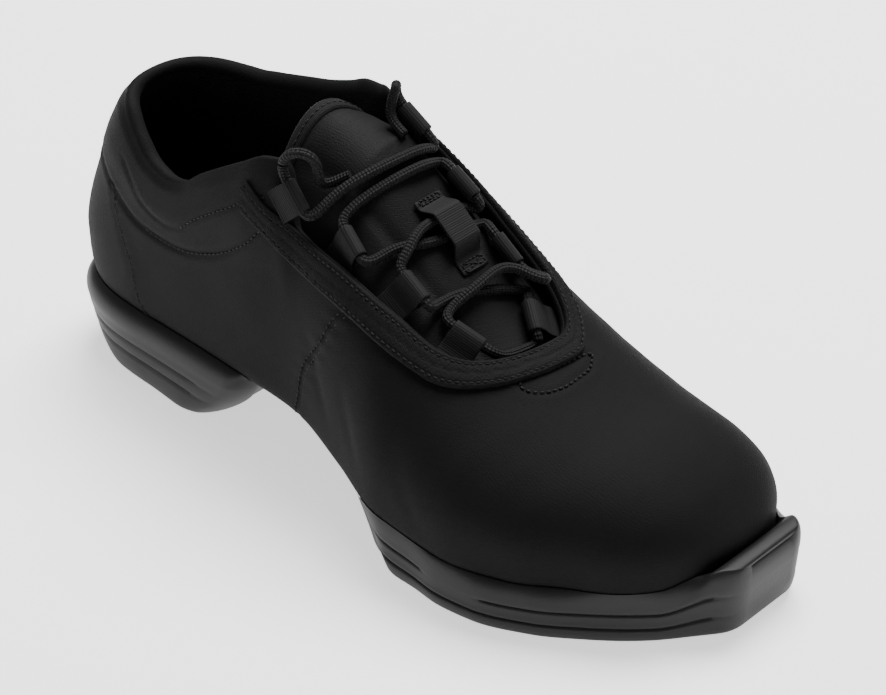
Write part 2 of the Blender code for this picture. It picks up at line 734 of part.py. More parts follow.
def make_tab(tab):
    """A webbing loop: two layers side by side at the root, open round the lace at the end."""
    root, run, across, out = tab_frame(tab)
    hole = LACE_DIAMETER / 2 + LACE_PLAY
    skinny = TAB_THICKNESS / 2
    ring = hole + skinny
    turn = np.radians(np.linspace(150, -150, 11))
    tuck = 0.0 if tab.along < LYING else TAB_ROOT
    outer = [(-tuck, -skinny), (-tuck, skinny)]
    outer += [(tab.reach + ring * math.cos(a), ring * math.sin(a)) for a in turn]
    bore = [(tab.reach + hole * math.cos(a), hole * math.sin(a)) for a in np.radians(np.arange(0, 360, 36))]
    builder = bmesh.new()
    rims = ([], [])
    for outline in (outer, bore):
        flat = np.array([root + across * u + out * v for u, v in outline])
        low, high = ([builder.verts.new(p + run * d) for p in flat] for d in (-TAB_WIDTH / 2, TAB_WIDTH / 2))
        for a, b, c, d in zip(low, low[1:] + low[:1], high[1:] + high[:1], high):
            builder.faces.new([a, b, c, d])
            rims[0].append(builder.edges.get((a, b)))
            rims[1].append(builder.edges.get((c, d)))
    for rim in rims:
        bmesh.ops.triangle_fill(builder, use_beauty=True, edges=rim)
    close_mesh(builder)
    side = "lateral" if tab.side < 0 else "medial"
    return add_object(f"tab_{side}_{tab.number}", builder, WEBBING)


def make_keeper():
    """The strip on the tongue that the lace runs under, arched over it and seated at both ends."""
    t = np.array([0, 0.08, 0.13, 0.19, 0.26, 0.36, 0.47, 0.58, 0.66, 0.74, 0.80, 0.86, 1])
    along = KEEPER_FROM + (KEEPER_TO - KEEPER_FROM) * t
    arch = step_up(t, 0.08, 0.27) * (1 - step_up(t, 0.64, 0.84))
    middle = tongue_points(along, KEEPER_SHARE)
    run = np.gradient(middle, axis=0)
    run /= np.linalg.norm(run, axis=1)[:, None]
    across = np.array([0.0, 1.0, 0.0])
    up = np.cross(run, across)
    up *= np.sign(up[:, 2])[:, None]
    half = KEEPER_WIDTH / 2 * np.linspace(-1, 1, 5)
    sag = KEEPER_SAG * half**2 * (1 - arch)[:, None]
    layers = []
    for height in (KEEPER_THICKNESS, 0.0):
        rise = 2 * CLEARANCE + (LACE_DIAMETER + 3 * LACE_PLAY) * arch + height
        layers.append(middle[:, None] + across * half[:, None] + up[:, None] * (rise[:, None] - sag)[:, :, None])
    return add_object("tongue_keeper", shell(*layers), WEBBING)


def lace_way(rows):
    """Control points of a lace, from a table of places on the tongue and tabs to pass through."""
    low = LACE_DIAMETER / 2 + 2 * CLEARANCE
    way = []
    for row in rows:
        if isinstance(row, Over):
            way.append(tongue_points(row.along, row.share, low + row.high * (LACE_DIAMETER + 2 * CLEARANCE)))
            continue
        tab = next(t for t in TABS if (t.side, t.number) == (row.side, row.number))
        eye, run = tab_eye(tab)
        if isinstance(row, Beside):
            _, _, across, out = tab_frame(tab)
            way.append(eye + (run * row.run + across * row.across + out * row.out) * LACE_DIAMETER)
            continue
        mouths = [run * row.way * (math.copysign(TAB_WIDTH / 2, k) + k * LACE_STUB) for k in (-1, -0.2, 0.2, 1)]
        middle = run * row.way * LACE_PLAY
        kept = {From: [middle] + mouths[2:], Into: mouths[:2] + [-middle], Through: mouths}[type(row)]
        way += [eye + mouth for mouth in kept]
    return np.array(way)


def rounded(way, closed, spacing):
    """Evenly spaced points of the curve that touches the middle of each stretch of the way and cuts its corners."""
    if closed:
        before, at, after = np.roll(way, 1, axis=0), way, np.roll(way, -1, axis=0)
    else:
        before, at, after = way[:-2], way[1:-1], way[2:]
    start, end = (before + at) / 2, (at + after) / 2
    t = np.linspace(0, 1, 16, endpoint=False)[None, :, None]
    fine = (start[:, None] * (1 - t) ** 2 + 2 * at[:, None] * t * (1 - t) + end[:, None] * t * t).reshape(-1, 3)
    fine = np.concatenate([fine, fine[:1]]) if closed else np.concatenate([way[:1], fine, end[-1:], way[-1:]])
    length = np.concatenate([[0], np.cumsum(np.linalg.norm(np.diff(fine, axis=0), axis=1))])
    steps = int(round(length[-1] / spacing))
    places = np.linspace(0, length[-1], steps + 1)
    even = np.stack([np.interp(places, length, fine[:, k]) for k in range(3)], 1)
    return even[:-1] if closed else even


def make_lace(name, way, closed=False):
    """A round lace along the rounded way."""
    even = rounded(way, closed, LACE_SPACING)
    curve = bpy.data.curves.new(name, "CURVE")
    curve.dimensions = "3D"
    curve.bevel_depth = LACE_DIAMETER / 2
    curve.bevel_resolution = 1
    curve.use_fill_caps = not closed
    spline = curve.splines.new("POLY")
    spline.points.add(len(even) - 1)
    spline.points.foreach_set("co", np.concatenate([even, np.ones((len(even), 1))], 1).ravel())
    spline.use_cyclic_u = closed
    curve.materials.append(material(WEBBING))
    made = bpy.data.objects.new(name, curve)
    bpy.context.scene.collection.objects.link(made)
    return made


def make_laces():
    """The elastic lace: one endless loop through six tabs and the keeper, a bar through the top two and its ends."""
    make_lace("lace_loop", lace_way(LOOP), True)
    make_lace("lace_bar", lace_way(BAR))
    make_lace("lace_end_lateral", lace_way(END_LATERAL))
    make_lace("lace_end_medial", lace_way(END_MEDIAL))


def settle():
    """Moves the whole shoe so that the origin lies on the floor under its middle."""
    shown = [o for o in bpy.data.objects if o.type == "MESH" and not o.hide_render]
    points = np.array([v.co for o in shown for v in o.data.vertices])
    middle = (points.min(0) + points.max(0)) / 2
    for made in bpy.data.objects:
        made.data.transform(Matrix.Translation((-middle[0], -middle[1], 0)))


def main():
    """Builds the shoe."""
    for old in list(bpy.data.objects):
        bpy.data.objects.remove(old)
    make_upper()
    cutter = form_solid("last_cutter", CLEARANCE)
    make_heel_sole(cutter)
    make_forefoot_sole(cutter)
    make_insole()
    make_eyestay()
    make_tongue()
    make_keeper()
    for tab in TABS:
        make_tab(tab)
    make_laces()
    settle()


main()
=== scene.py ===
"""Looks of a right dance sneaker: black canvas upper, padded collar and tongue, elastic lace, split sole.

Shapes are worked out along the foot's last in its own frame, with the heel's back near x = 0 and the toe
at +X, and moved by ORIGIN into the shared frame when a piece is made. Lengths are in metres.
"""

import logging
import math
from dataclasses import dataclass
from enum import Enum

import bmesh
import bpy
import numpy as np
from mathutils import Matrix, Vector

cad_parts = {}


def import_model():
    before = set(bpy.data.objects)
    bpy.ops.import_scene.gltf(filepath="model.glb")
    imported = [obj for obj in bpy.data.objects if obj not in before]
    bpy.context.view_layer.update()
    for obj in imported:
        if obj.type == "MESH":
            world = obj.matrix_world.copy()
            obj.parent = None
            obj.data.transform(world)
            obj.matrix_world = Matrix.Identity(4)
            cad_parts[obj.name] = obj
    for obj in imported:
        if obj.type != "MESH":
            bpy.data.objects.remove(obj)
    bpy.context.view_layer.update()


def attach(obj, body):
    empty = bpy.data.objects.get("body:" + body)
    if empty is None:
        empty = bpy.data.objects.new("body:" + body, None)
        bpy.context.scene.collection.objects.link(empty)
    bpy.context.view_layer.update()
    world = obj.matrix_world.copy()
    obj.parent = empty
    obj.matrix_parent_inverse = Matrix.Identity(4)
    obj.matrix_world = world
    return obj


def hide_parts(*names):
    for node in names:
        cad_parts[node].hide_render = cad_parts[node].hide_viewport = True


LOG = logging.getLogger("sneaker")
ORIGIN = np.array([-0.129956, 0.002107, 0.0])
BODY = "root"
HALF_PI = math.pi / 2
FULL_TURN = 2 * math.pi
WELD_DISTANCE = 2e-6

UPPER_LENGTH = 0.256
SOLE_LENGTH = 0.262
BALL_WIDTH = 0.0925
CLEARANCE = 0.0003
CANVAS_WALL = 0.0020
LACE_DIAMETER = 0.0030
TAB_THICKNESS = 0.0020
TAB_DEPTH = 0.0008


class Side(Enum):
    """The two sides of the shoe."""

    LATERAL = -1
    MEDIAL = 1


class Slot(Enum):
    """The record's material slots."""

    CANVAS = "black canvas"
    KNIT = "black knit"
    RUBBER = "charcoal rubber"
    WEBBING = "black webbing"


SIDES = (Side.LATERAL, Side.MEDIAL)


def smooth(at: np.ndarray, xs: np.ndarray, ys: np.ndarray) -> np.ndarray:
    """A cubic through points, its slopes limited so that it never overshoots.

    Formula: Hermite cubics; inside, slopes are the chords' harmonic mean; at the ends, the end chords'.

    Args:
        at: Places to read.
        xs: Places of the points, rising.
        ys: Values of the points.

    Returns:
        The curve's values at those places.
    """
    at, xs, ys = (np.asarray(v, float) for v in (at, xs, ys))
    step = np.diff(xs)
    rise = np.diff(ys) / step
    slope = np.zeros_like(ys)
    turns = rise[:-1] * rise[1:]
    total = np.where(turns > 0, rise[:-1] + rise[1:], 1.0)
    slope[1:-1] = np.where(turns > 0, 2 * turns / total, 0.0)
    slope[0], slope[-1] = rise[0], rise[-1]
    i = np.clip(np.searchsorted(xs, at) - 1, 0, len(step) - 1)
    t = np.clip((at - xs[i]) / step[i], 0, 1)
    low = ys[i] * (1 + 2 * t) * (1 - t) ** 2 + slope[i] * step[i] * t * (1 - t) ** 2
    high = ys[i + 1] * t * t * (3 - 2 * t) + slope[i + 1] * step[i] * t * t * (t - 1)
    return low + high


def step_up(value: np.ndarray, start: float, end: float) -> np.ndarray:
    """A smooth step from 0 at start to 1 at end: 3 t squared minus 2 t cubed."""
    t = np.clip((np.asarray(value, float) - start) / (end - start), 0, 1)
    return t * t * (3 - 2 * t)


def bell(distance: np.ndarray, width: float) -> np.ndarray:
    """1 at no distance, falling to nothing beyond the width, as exp of minus the squared ratio."""
    return np.exp(-((np.asarray(distance, float) / width) ** 2))


def closing(along: np.ndarray, start: float, power: float) -> np.ndarray:
    """1 up to start, then a round fall to 0 at the tip: the power-th root of 1 minus t to the power."""
    t = np.clip((np.asarray(along, float) - start) / (1 - start), 0, 1)
    return np.maximum(1 - t**power, 0) ** (1 / power)


def unit(vectors: np.ndarray) -> np.ndarray:
    """The vectors at length 1."""
    return vectors / np.maximum(np.linalg.norm(vectors, axis=-1, keepdims=True), 1e-12)


def lengths(points: np.ndarray) -> np.ndarray:
    """Running length along a line of points, from 0."""
    return np.concatenate([[0.0], np.cumsum(np.linalg.norm(np.diff(points, axis=0), axis=-1))])


def even(points: np.ndarray, spacing: float) -> np.ndarray:
    """Points at an even spacing along a line, its ends kept.

    Args:
        points: The line, shape (n, k).
        spacing: The wanted spacing along the first three columns.

    Returns:
        The evenly spaced points with all their columns.
    """
    run = lengths(points[:, :3])
    places = np.linspace(0, run[-1], max(int(round(run[-1] / spacing)), 1) + 1)
    return np.stack([np.interp(places, run, points[:, k]) for k in range(points.shape[1])], 1)


def starting(count: int) -> np.ndarray:
    """Places from 0 up to 1 that crowd at 0: 1 minus the cosine of a quarter turn, 1 itself left out."""
    return 1 - np.cos(np.linspace(0, 1, count, endpoint=False) * HALF_PI)


def slowing(count: int, whole: bool = True) -> np.ndarray:
    """Places from 0 to 1 that crowd at 1: the sine of a quarter turn, 1 left out where it isn't whole."""
    return np.sin(np.linspace(0, 1, count, endpoint=whole) * HALF_PI)


def outwards(line: np.ndarray, side: int) -> np.ndarray:
    """Directions in the floor's plane that point out of an outline, which runs from heel to toe.

    Args:
        line: The outline, shape (n, 2).
        side: -1 or 1.

    Returns:
        Unit vectors, shape (n, 2).
    """
    run = unit(np.gradient(line, axis=0))
    return np.stack([run[:, 1], -run[:, 0]], 1) * -side


def column(table: tuple, index: int, along: np.ndarray) -> np.ndarray:
    """One column of a table whose first column is the place along the shoe."""
    return smooth(along, [row[0] for row in table], [row[index] for row in table])


def both(table: tuple, along: np.ndarray, side: np.ndarray, first: int = 1) -> np.ndarray:
    """The lateral column where side is negative and the medial one, next to it, where it is positive."""
    return np.where(np.asarray(side) < 0, column(table, first, along), column(table, first + 1, along))


@dataclass(frozen=True)
class Last:
    """The form of the foot, on which every piece lies.

    angle is -90 degrees underneath, 0 where a section is widest and 90 at its ridge, in radians. side is -1
    for lateral and 1 for medial.
    """

    instep_height: float = 0.100
    heel_seat: float = 0.022
    forefoot_seat: float = 0.011
    collar_height: float = 0.070
    heel_lean: float = 0.0200
    heel_undercut: float = 0.013
    heel_bulge: float = 0.023
    lean_power: float = 1.35
    top_power: float = 2.4
    base_power: float = 5.0
    heel_round: float = 0.16
    toe_round: float = 0.86
    crown_round: float = 0.87
    round_power: float = 2.3
    corner: tuple = (0.398, 0.438)
    throat_turn: float = 0.640
    throat_tip: float = 0.716
    # along, axis, lateral, medial, wide, ridge, rise
    sections: tuple = (
        (0.00, 0.000, 0.275, 0.275, 0.22, 1.00, 1.00),
        (0.10, 0.000, 0.272, 0.272, 0.20, 1.03, 1.00),
        (0.235, 0.005, 0.300, 0.280, 0.18, 1.13, 1.00),
        (0.35, 0.038, 0.363, 0.250, 0.165, 1.16, 0.97),
        (0.45, 0.086, 0.442, 0.222, 0.156, 0.955, 0.85),
        (0.55, 0.108, 0.560, 0.258, 0.144, 0.778, 0.60),
        (0.645, 0.103, 0.642, 0.322, 0.142, 0.622, 0.25),
        (0.735, 0.092, 0.643, 0.373, 0.145, 0.487, 0.05),
        (0.82, 0.090, 0.584, 0.362, 0.140, 0.414, 0.00),
        (0.89, 0.094, 0.489, 0.335, 0.135, 0.375, 0.05),
        (1.00, 0.097, 0.443, 0.350, 0.110, 0.310, 0.20),
    )
    # along, lateral, medial: height of the collar's edge
    collar: tuple = (
        (0.000, 1.090, 1.090),
        (0.060, 1.050, 1.090),
        (0.120, 0.955, 1.090),
        (0.165, 0.875, 1.090),
        (0.205, 0.848, 1.110),
        (0.235, 0.866, 1.130),
        (0.264, 0.935, 1.150),
        (0.304, 1.020, 1.180),
        (0.344, 1.100, 1.225),
        (0.377, 1.160, 1.275),
        (0.420, 1.175, 1.290),
    )
    # along, lateral, medial: the throat's edge as shares of the half width
    throat: tuple = (
        (0.340, 0.870, 0.700),
        (0.391, 0.885, 0.600),
        (0.435, 0.860, 0.560),
        (0.470, 0.840, 0.540),
        (0.523, 0.783, 0.480),
        (0.565, 0.733, 0.450),
        (0.617, 0.650, 0.410),
        (0.660, 0.610, 0.360),
        (0.716, 0.630, 0.300),
    )
    pad_out: float = 0.0016
    pad_start: float = 0.35
    pad_full: float = 0.70

    def seat(self, along: np.ndarray) -> np.ndarray:
        """Height of the upper's underside."""
        return self.forefoot_seat + (self.heel_seat - self.forefoot_seat) * column(self.sections, 6, along)

    def widest(self, along: np.ndarray) -> np.ndarray:
        """Height at which a section is widest."""
        return self.seat(along) + self.instep_height * column(self.sections, 4, along)

    def ridge(self, along: np.ndarray) -> np.ndarray:
        """Height of the section's top, which the throat and collar cut off."""
        full = self.seat(along) + self.instep_height * column(self.sections, 5, along)
        fall = closing(along, self.crown_round, self.round_power)
        return self.widest(along) + (full - self.widest(along)) * fall

    def skin(
        self, along: np.ndarray, angle: np.ndarray, side: np.ndarray, grow: np.ndarray = 0.0
    ) -> np.ndarray:
        """Points of the last's surface.

        Formula: each section is two superellipse quarters, one power above its widest height and another
        below, its half width rounded off at heel and toe, and leaned forward above the heel's bulge.

        Args:
            along: Share of the upper's length.
            angle: Place round the section.
            side: -1 or 1.
            grow: Distance outwards.

        Returns:
            The points, with a last axis of 3.
        """
        given = (np.asarray(v, float) for v in (along, angle, side, grow))
        along, angle, side, grow = np.broadcast_arrays(*given)
        heel = (1 - np.clip(1 - along / self.heel_round, 0, 1) ** self.round_power) ** (1 / self.round_power)
        half = (BALL_WIDTH * both(self.sections, along, side, 2) + grow) * heel
        half = half * closing(along, self.toe_round, self.round_power)
        top = self.ridge(along) + grow
        wide = self.widest(along)
        low = wide - (wide - self.seat(along)) * closing(along, self.toe_round, 2 * self.round_power) - grow
        power = np.where(angle > 0, self.top_power, self.base_power)
        z = wide + np.where(angle > 0, top - wide, low - wide) * np.abs(np.sin(angle)) ** (2 / power)
        axis = BALL_WIDTH * column(self.sections, 1, along)
        y = axis + side * half * np.maximum(np.cos(angle), 0) ** (2 / power)
        above = (z - self.heel_seat - self.heel_bulge) / (self.collar_height - self.heel_bulge)
        forward = self.heel_lean * np.abs(above) ** self.lean_power
        lean = np.where(above > 0, forward, self.heel_undercut * above**2)
        x = -grow + along * (UPPER_LENGTH + 2 * grow) + lean * np.clip(1 - along / self.corner[0], 0, 1) ** 2
        return np.stack([x, y, z], -1)

    def angle_at(self, along: np.ndarray, height: np.ndarray) -> np.ndarray:
        """The angle at which a section reaches a height: the skin's height formula turned round."""
        wide, top, low = self.widest(along), self.ridge(along), self.seat(along)
        up = np.clip((height - wide) / np.maximum(top - wide, 1e-6), 0, 1) ** (self.top_power / 2)
        down = np.clip((wide - height) / np.maximum(wide - low, 1e-6), 0, 1) ** (self.base_power / 2)
        return np.where(height > wide, np.arcsin(up), -np.arcsin(down))

    def gap_angle(
        self, along: np.ndarray, side: np.ndarray, table: tuple, turn: float, tip: float
    ) -> np.ndarray:
        """The angle of an opening's edge, given as shares of the half width and rounded off at its tip.

        Args:
            along: Share of the upper's length.
            side: -1 or 1.
            table: Rows of the place along and the lateral and medial shares.
            turn: Where the rounding starts.
            tip: Where the two sides meet.

        Returns:
            The angles.
        """
        t = np.clip((along - turn) / (tip - turn), 0, 1)
        return self.share_angle(both(table, along, side) * np.sqrt(1 - t * t))

    def throat_angle(self, along: np.ndarray, side: np.ndarray) -> np.ndarray:
        """The angle of the throat's edge."""
        return self.gap_angle(along, side, self.throat, self.throat_turn, self.throat_tip)

    def share_angle(self, share: np.ndarray) -> np.ndarray:
        """The angle at a share of the half width from the axis, on the upper half."""
        return np.arccos(np.clip(share, 0, 1) ** (self.top_power / 2))

    def rim_angle(self, along: np.ndarray, side: np.ndarray) -> np.ndarray:
        """The angle of the opening's edge: the collar at the back, then the throat, then none."""
        along = np.asarray(along, float)
        edge = self.heel_seat + self.collar_height * both(self.collar, along, side)
        room = np.maximum(self.ridge(along) - self.widest(along), 1e-6)
        collar = np.arcsin(np.clip((edge - self.widest(along)) / room, 0, 1) ** (self.top_power / 2))
        throat = self.throat_angle(along, side)
        mix = step_up(along, *self.corner)
        return np.where(along >= self.throat_tip, HALF_PI, collar * (1 - mix) + throat * mix)

    def padding(self, along: np.ndarray, angle: np.ndarray, side: np.ndarray) -> np.ndarray:
        """How thick the collar's padding is here, from 0 to 1."""
        t = angle / self.rim_angle(along, side)
        ended = step_up(along, self.corner[0], self.corner[1] + 0.01)
        return step_up(t, self.pad_start, self.pad_full) * (1 - ended)

    def upper(
        self, along: np.ndarray, angle: np.ndarray, side: np.ndarray, grow: np.ndarray = 0.0
    ) -> np.ndarray:
        """The upper's outer face, with the collar's padding."""
        return self.skin(along, angle, side, grow + self.pad_out * self.padding(along, angle, side))


LAST = Last()


@dataclass
class Patch:
    """A grid of points that becomes quads, with its cloth coordinates in metres and one finish."""

    points: np.ndarray
    finish: int = 0
    keep: np.ndarray | None = None
    cloth: np.ndarray | None = None

    def coordinates(self) -> np.ndarray:
        """Cloth coordinates: running lengths along the grid's two directions, averaged over its lines."""
        if self.cloth is not None:
            return self.cloth
        over = np.linalg.norm(np.diff(self.points, axis=0), axis=-1).mean(1)
        across = np.linalg.norm(np.diff(self.points, axis=1), axis=-1)
        u = np.concatenate([[0.0], np.cumsum(over)])
        v = np.concatenate([np.zeros((len(u), 1)), np.cumsum(across, 1)], 1)
        return np.stack([np.broadcast_to(u[:, None], v.shape), v], -1)


def make_piece(
    name: str, patches: list, materials: list, replaces: tuple = (), angle: float = 50.0
) -> bpy.types.Object:
    """Welds patches into one closed piece, faces outwards, and puts it on the body.

    Args:
        name: The piece's name.
        patches: Its grids.
        materials: Its materials, in the order of the patches' finishes.
        replaces: CAD nodes it stands for.
        angle: Edges sharper than this, in degrees, stay sharp.

    Returns:
        The new object.
    """
    points, faces, cloth, finish, start = [], [], [], [], 0
    for patch in patches:
        m, n = patch.points.shape[:2]
        index = start + np.arange(m * n).reshape(m, n)
        quads = np.stack([index[:-1, :-1], index[1:, :-1], index[1:, 1:], index[:-1, 1:]], -1)
        quads = quads.reshape(-1, 4) if patch.keep is None else quads[patch.keep]
        points.append(patch.points.reshape(-1, 3))
        faces.append(quads)
        cloth.append(patch.coordinates().reshape(-1, 2))
        finish.append(np.full(len(quads), patch.finish))
        start += m * n
    points, faces = np.concatenate(points) + ORIGIN, np.concatenate(faces)
    mesh = bpy.data.meshes.new(name)
    mesh.from_pydata(points, [], faces)
    mesh.polygons.foreach_set("material_index", np.concatenate(finish).astype(np.int32))
    mesh.uv_layers.new(name="cloth").data.foreach_set("uv", np.concatenate(cloth)[faces.ravel()].ravel())
    for material in materials:
        mesh.materials.append(material)
    builder = bmesh.new()
    builder.from_mesh(mesh)
    bmesh.ops.remove_doubles(builder, verts=builder.verts, dist=WELD_DISTANCE)
    bmesh.ops.dissolve_degenerate(builder, edges=builder.edges, dist=1e-7)
    loose = [v for v in builder.verts if not v.link_faces]
    bmesh.ops.delete(builder, geom=loose, context="VERTS")
    bmesh.ops.recalc_face_normals(builder, faces=builder.faces)
    builder.to_mesh(mesh)
    builder.free()
    mesh.shade_smooth()
    mesh.set_sharp_from_angle(angle=math.radians(angle))
    made = bpy.data.objects.new(name, mesh)
    bpy.context.scene.collection.objects.link(made)
    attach(made, BODY)
    if replaces:
        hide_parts(*replaces)
    LOG.info("%s: %d faces", name, len(mesh.polygons))
    return made


def capped(grid: np.ndarray) -> np.ndarray:
    """A swept grid with both ends drawn to a point, so that the tube closes."""
    ends = [np.broadcast_to(g.mean(0), g.shape)[None] for g in (grid[0], grid[-1])]
    return np.concatenate([ends[0], grid, ends[1]])


def tape_profile(width: float, thickness: float, count: int, power: float = 6.0) -> tuple:
    """A closed flat profile with round edges: a superellipse of that power.

    Args:
        width: Its width.
        thickness: Its thickness.
        count: Number of steps round it.
        power: How square it is.

    Returns:
        Its sideways places and its heights, the first repeated at the end.
    """
    turn = np.linspace(0, FULL_TURN, count + 1)
    wave = np.stack([np.cos(turn), np.sin(turn)])
    place, high = np.sign(wave) * np.abs(wave) ** (2 / power)
    return width / 2 * place, thickness / 2 * high


class Bench:
    """A new material's node tree, with short ways to add to it."""

    def __init__(self, name: str) -> None:
        """Makes the material and keeps its shader."""
        self.material = bpy.data.materials.new(name)
        self.material.use_nodes = True
        self.tree = self.material.node_tree
        self.shader = self.tree.nodes["Principled BSDF"]

    def add(self, kind: str, inputs: dict | None = None, **settings: object) -> bpy.types.Node:
        """Adds a node.

        Args:
            kind: The node's type, without its ShaderNode prefix.
            inputs: Values or sockets for its inputs, by name or number.
            settings: The node's own settings.

        Returns:
            The node.
        """
        node = self.tree.nodes.new("ShaderNode" + kind)
        for key, value in settings.items():
            setattr(node, key, value)
        for key, value in (inputs or {}).items():
            if isinstance(value, bpy.types.NodeSocket):
                self.tree.links.new(value, node.inputs[key])
            else:
                node.inputs[key].default_value = value
        return node

    def maths(self, operation: str, first: object, second: object = 0.0) -> bpy.types.NodeSocket:
        """The result of a Math node on two values or sockets."""
        return self.add("Math", {0: first, 1: second}, operation=operation).outputs[0]

    def noise(self, place: bpy.types.NodeSocket, scale: float, detail: float = 3.0) -> bpy.types.NodeSocket:
        """A noise texture's value, from 0 to 1."""
        found = self.add("TexNoise", {"Vector": place, "Scale": scale, "Detail": detail})
        return found.outputs[0]

    def spread(self, value: bpy.types.NodeSocket, low: float, high: float) -> bpy.types.NodeSocket:
        """A value from 0 to 1 stretched over a range."""
        return self.add("MapRange", {"Value": value, "To Min": low, "To Max": high}).outputs[0]

    def tones(self, value: bpy.types.NodeSocket, dark: tuple, light: tuple) -> bpy.types.NodeSocket:
        """A colour between two, by a value from 0 to 1."""
        mix = self.add("Mix", {0: value}, data_type="RGBA")
        mix.inputs[6].default_value, mix.inputs[7].default_value = (*dark, 1.0), (*light, 1.0)
        return mix.outputs[2]

    def place(self) -> bpy.types.NodeSocket:
        """The object's own coordinates."""
        return self.add("TexCoord").outputs["Object"]

    def cloth(self) -> tuple:
        """The sockets of the two cloth coordinates."""
        place = self.add("UVMap", uv_map="cloth").outputs[0]
        return tuple(self.add("SeparateXYZ", {0: place}).outputs[:2])

    def wave(self, way: bpy.types.NodeSocket, pitch: float) -> bpy.types.NodeSocket:
        """A sine from -1 to 1 along a coordinate, with half a wave for each pitch."""
        return self.maths("SINE", self.maths("MULTIPLY", way, math.pi / pitch))

    def scaled(self, value: bpy.types.NodeSocket, factor: float) -> bpy.types.NodeSocket:
        """A value times a factor."""
        return self.maths("MULTIPLY", value, factor)

    def threads(self, across: float, along: float) -> tuple:
        """Waves along the cloth coordinates, one for each pitch in metres.

        Args:
            across: Pitch along the first coordinate.
            along: Pitch along the second.

        Returns:
            The two waves' sockets, each a sine from -1 to 1.
        """
        return tuple(self.wave(way, pitch) for way, pitch in zip(self.cloth(), (across, along)))

    def dress(
        self, colour: object, roughness: object, height: object, depth: float, **fixed: float
    ) -> bpy.types.Material:
        """Links the colour, roughness and bump, and sets what is the same all over.

        Args:
            colour: Socket of the base colour.
            roughness: Socket or value.
            height: Socket of the bump's height.
            depth: The bump's depth in metres.
            fixed: Values of other sockets of the shader, their spaces written as underscores.

        Returns:
            The material.
        """
        self.tree.links.new(colour, self.shader.inputs["Base Color"])
        if isinstance(roughness, bpy.types.NodeSocket):
            self.tree.links.new(roughness, self.shader.inputs["Roughness"])
        else:
            self.shader.inputs["Roughness"].default_value = roughness
        bump = self.add("Bump", {"Height": height, "Distance": depth, "Strength": 1.0})
        self.tree.links.new(bump.outputs[0], self.shader.inputs["Normal"])
        for key, value in fixed.items():
            self.shader.inputs[key.replace("_", " ")].default_value = value
        return self.material


@dataclass(frozen=True)
class Canvas:
    """Fine plain-woven cotton: threads over and under each other, a soft sheen, slight clouds from wear."""

    name: str = "fine_black_canvas"
    dark: tuple = (0.0030, 0.0030, 0.0031)
    light: tuple = (0.0062, 0.0062, 0.0064)
    pitch: float = 0.00055
    depth: float = 0.00006
    sheen: float = 0.01
    roughness: float = 0.72
    fibre_scale: float = 1900.0
    cloud_scale: float = 38.0

    def make(self) -> bpy.types.Material:
        """Weave height: warp sine times weft sine, plus fibre noise; a slow noise clouds the colour."""
        bench = Bench(self.name)
        warp, weft = bench.threads(self.pitch, self.pitch)
        place = bench.place()
        weave = bench.maths("MULTIPLY", warp, weft)
        fibre = bench.noise(place, self.fibre_scale, 3)
        height = bench.maths("ADD", bench.scaled(weave, 0.3), bench.scaled(fibre, 3.0))
        cloud = bench.noise(place, self.cloud_scale, 4)
        tone = bench.maths("ADD", bench.spread(cloud, -0.25, 0.75), bench.scaled(fibre, 0.35))
        colour = bench.tones(tone, self.dark, self.light)
        rough = bench.spread(fibre, self.roughness - 0.08, self.roughness + 0.08)
        fixed = {"Sheen_Weight": self.sheen, "Sheen_Roughness": 0.45, "Specular_IOR_Level": 0.09}
        return bench.dress(colour, rough, height, self.depth, **fixed)


@dataclass(frozen=True)
class Knit:
    """Brushed jersey lining: small columns of loops, very matte."""

    name: str = "black_jersey"
    dark: tuple = (0.0045, 0.0045, 0.0047)
    light: tuple = (0.0095, 0.0095, 0.0098)
    wale: float = 0.0007
    course: float = 0.0005
    depth: float = 0.00016
    fibre_scale: float = 1500.0
    cloud_scale: float = 60.0

    def make(self) -> bpy.types.Material:
        """Loop height: the size of a sine across times a raised sine along, plus brushed fibre noise."""
        bench = Bench(self.name)
        wale, course = bench.threads(self.wale, self.course)
        place = bench.place()
        loops = bench.maths("MULTIPLY", bench.maths("ABSOLUTE", wale), bench.maths("ADD", course, 1.4))
        height = bench.maths("ADD", loops, bench.noise(place, self.fibre_scale, 4))
        cloud = bench.spread(bench.noise(place, self.cloud_scale, 4), 0, 1)
        fixed = {"Sheen_Weight": 0.02, "Sheen_Roughness": 0.6, "Specular_IOR_Level": 0.08}
        colour = bench.tones(cloud, self.dark, self.light)
        return bench.dress(colour, 0.92, height, self.depth, **fixed)


@dataclass(frozen=True)
class Webbing:
    """Ribbed tape: ribs across the tape, with finer threads along it."""

    name: str = "ribbed_black_tape"
    # tones of the painted shade in the hollows between ribs and the painted highlight on their crowns
    dark: tuple = (0.0042, 0.0042, 0.0044)
    light: tuple = (0.0125, 0.0125, 0.0128)
    rib: float = 0.0007
    thread: float = 0.0004
    depth: float = 0.00007
    roughness: float = 0.66
    fibre_scale: float = 1800.0

    def make(self) -> bpy.types.Material:
        """Rib height: the size of a sine along the tape, broken up by the threads and a little noise."""
        bench = Bench(self.name)
        rib, thread = bench.threads(self.rib, self.thread)
        place = bench.place()
        ridge = bench.maths("ABSOLUTE", rib)
        height = bench.maths("ADD", ridge, bench.scaled(bench.maths("ABSOLUTE", thread), 0.35))
        height = bench.maths("ADD", height, bench.scaled(bench.noise(place, self.fibre_scale, 2), 0.3))
        # colour follows the ribs: painted shade in their hollows, painted highlight on their crowns
        colour = bench.tones(ridge, self.dark, self.light)
        fixed = {"Sheen_Weight": 0.02, "Sheen_Roughness": 0.4, "Specular_IOR_Level": 0.12}
        return bench.dress(colour, self.roughness, height, self.depth, **fixed)


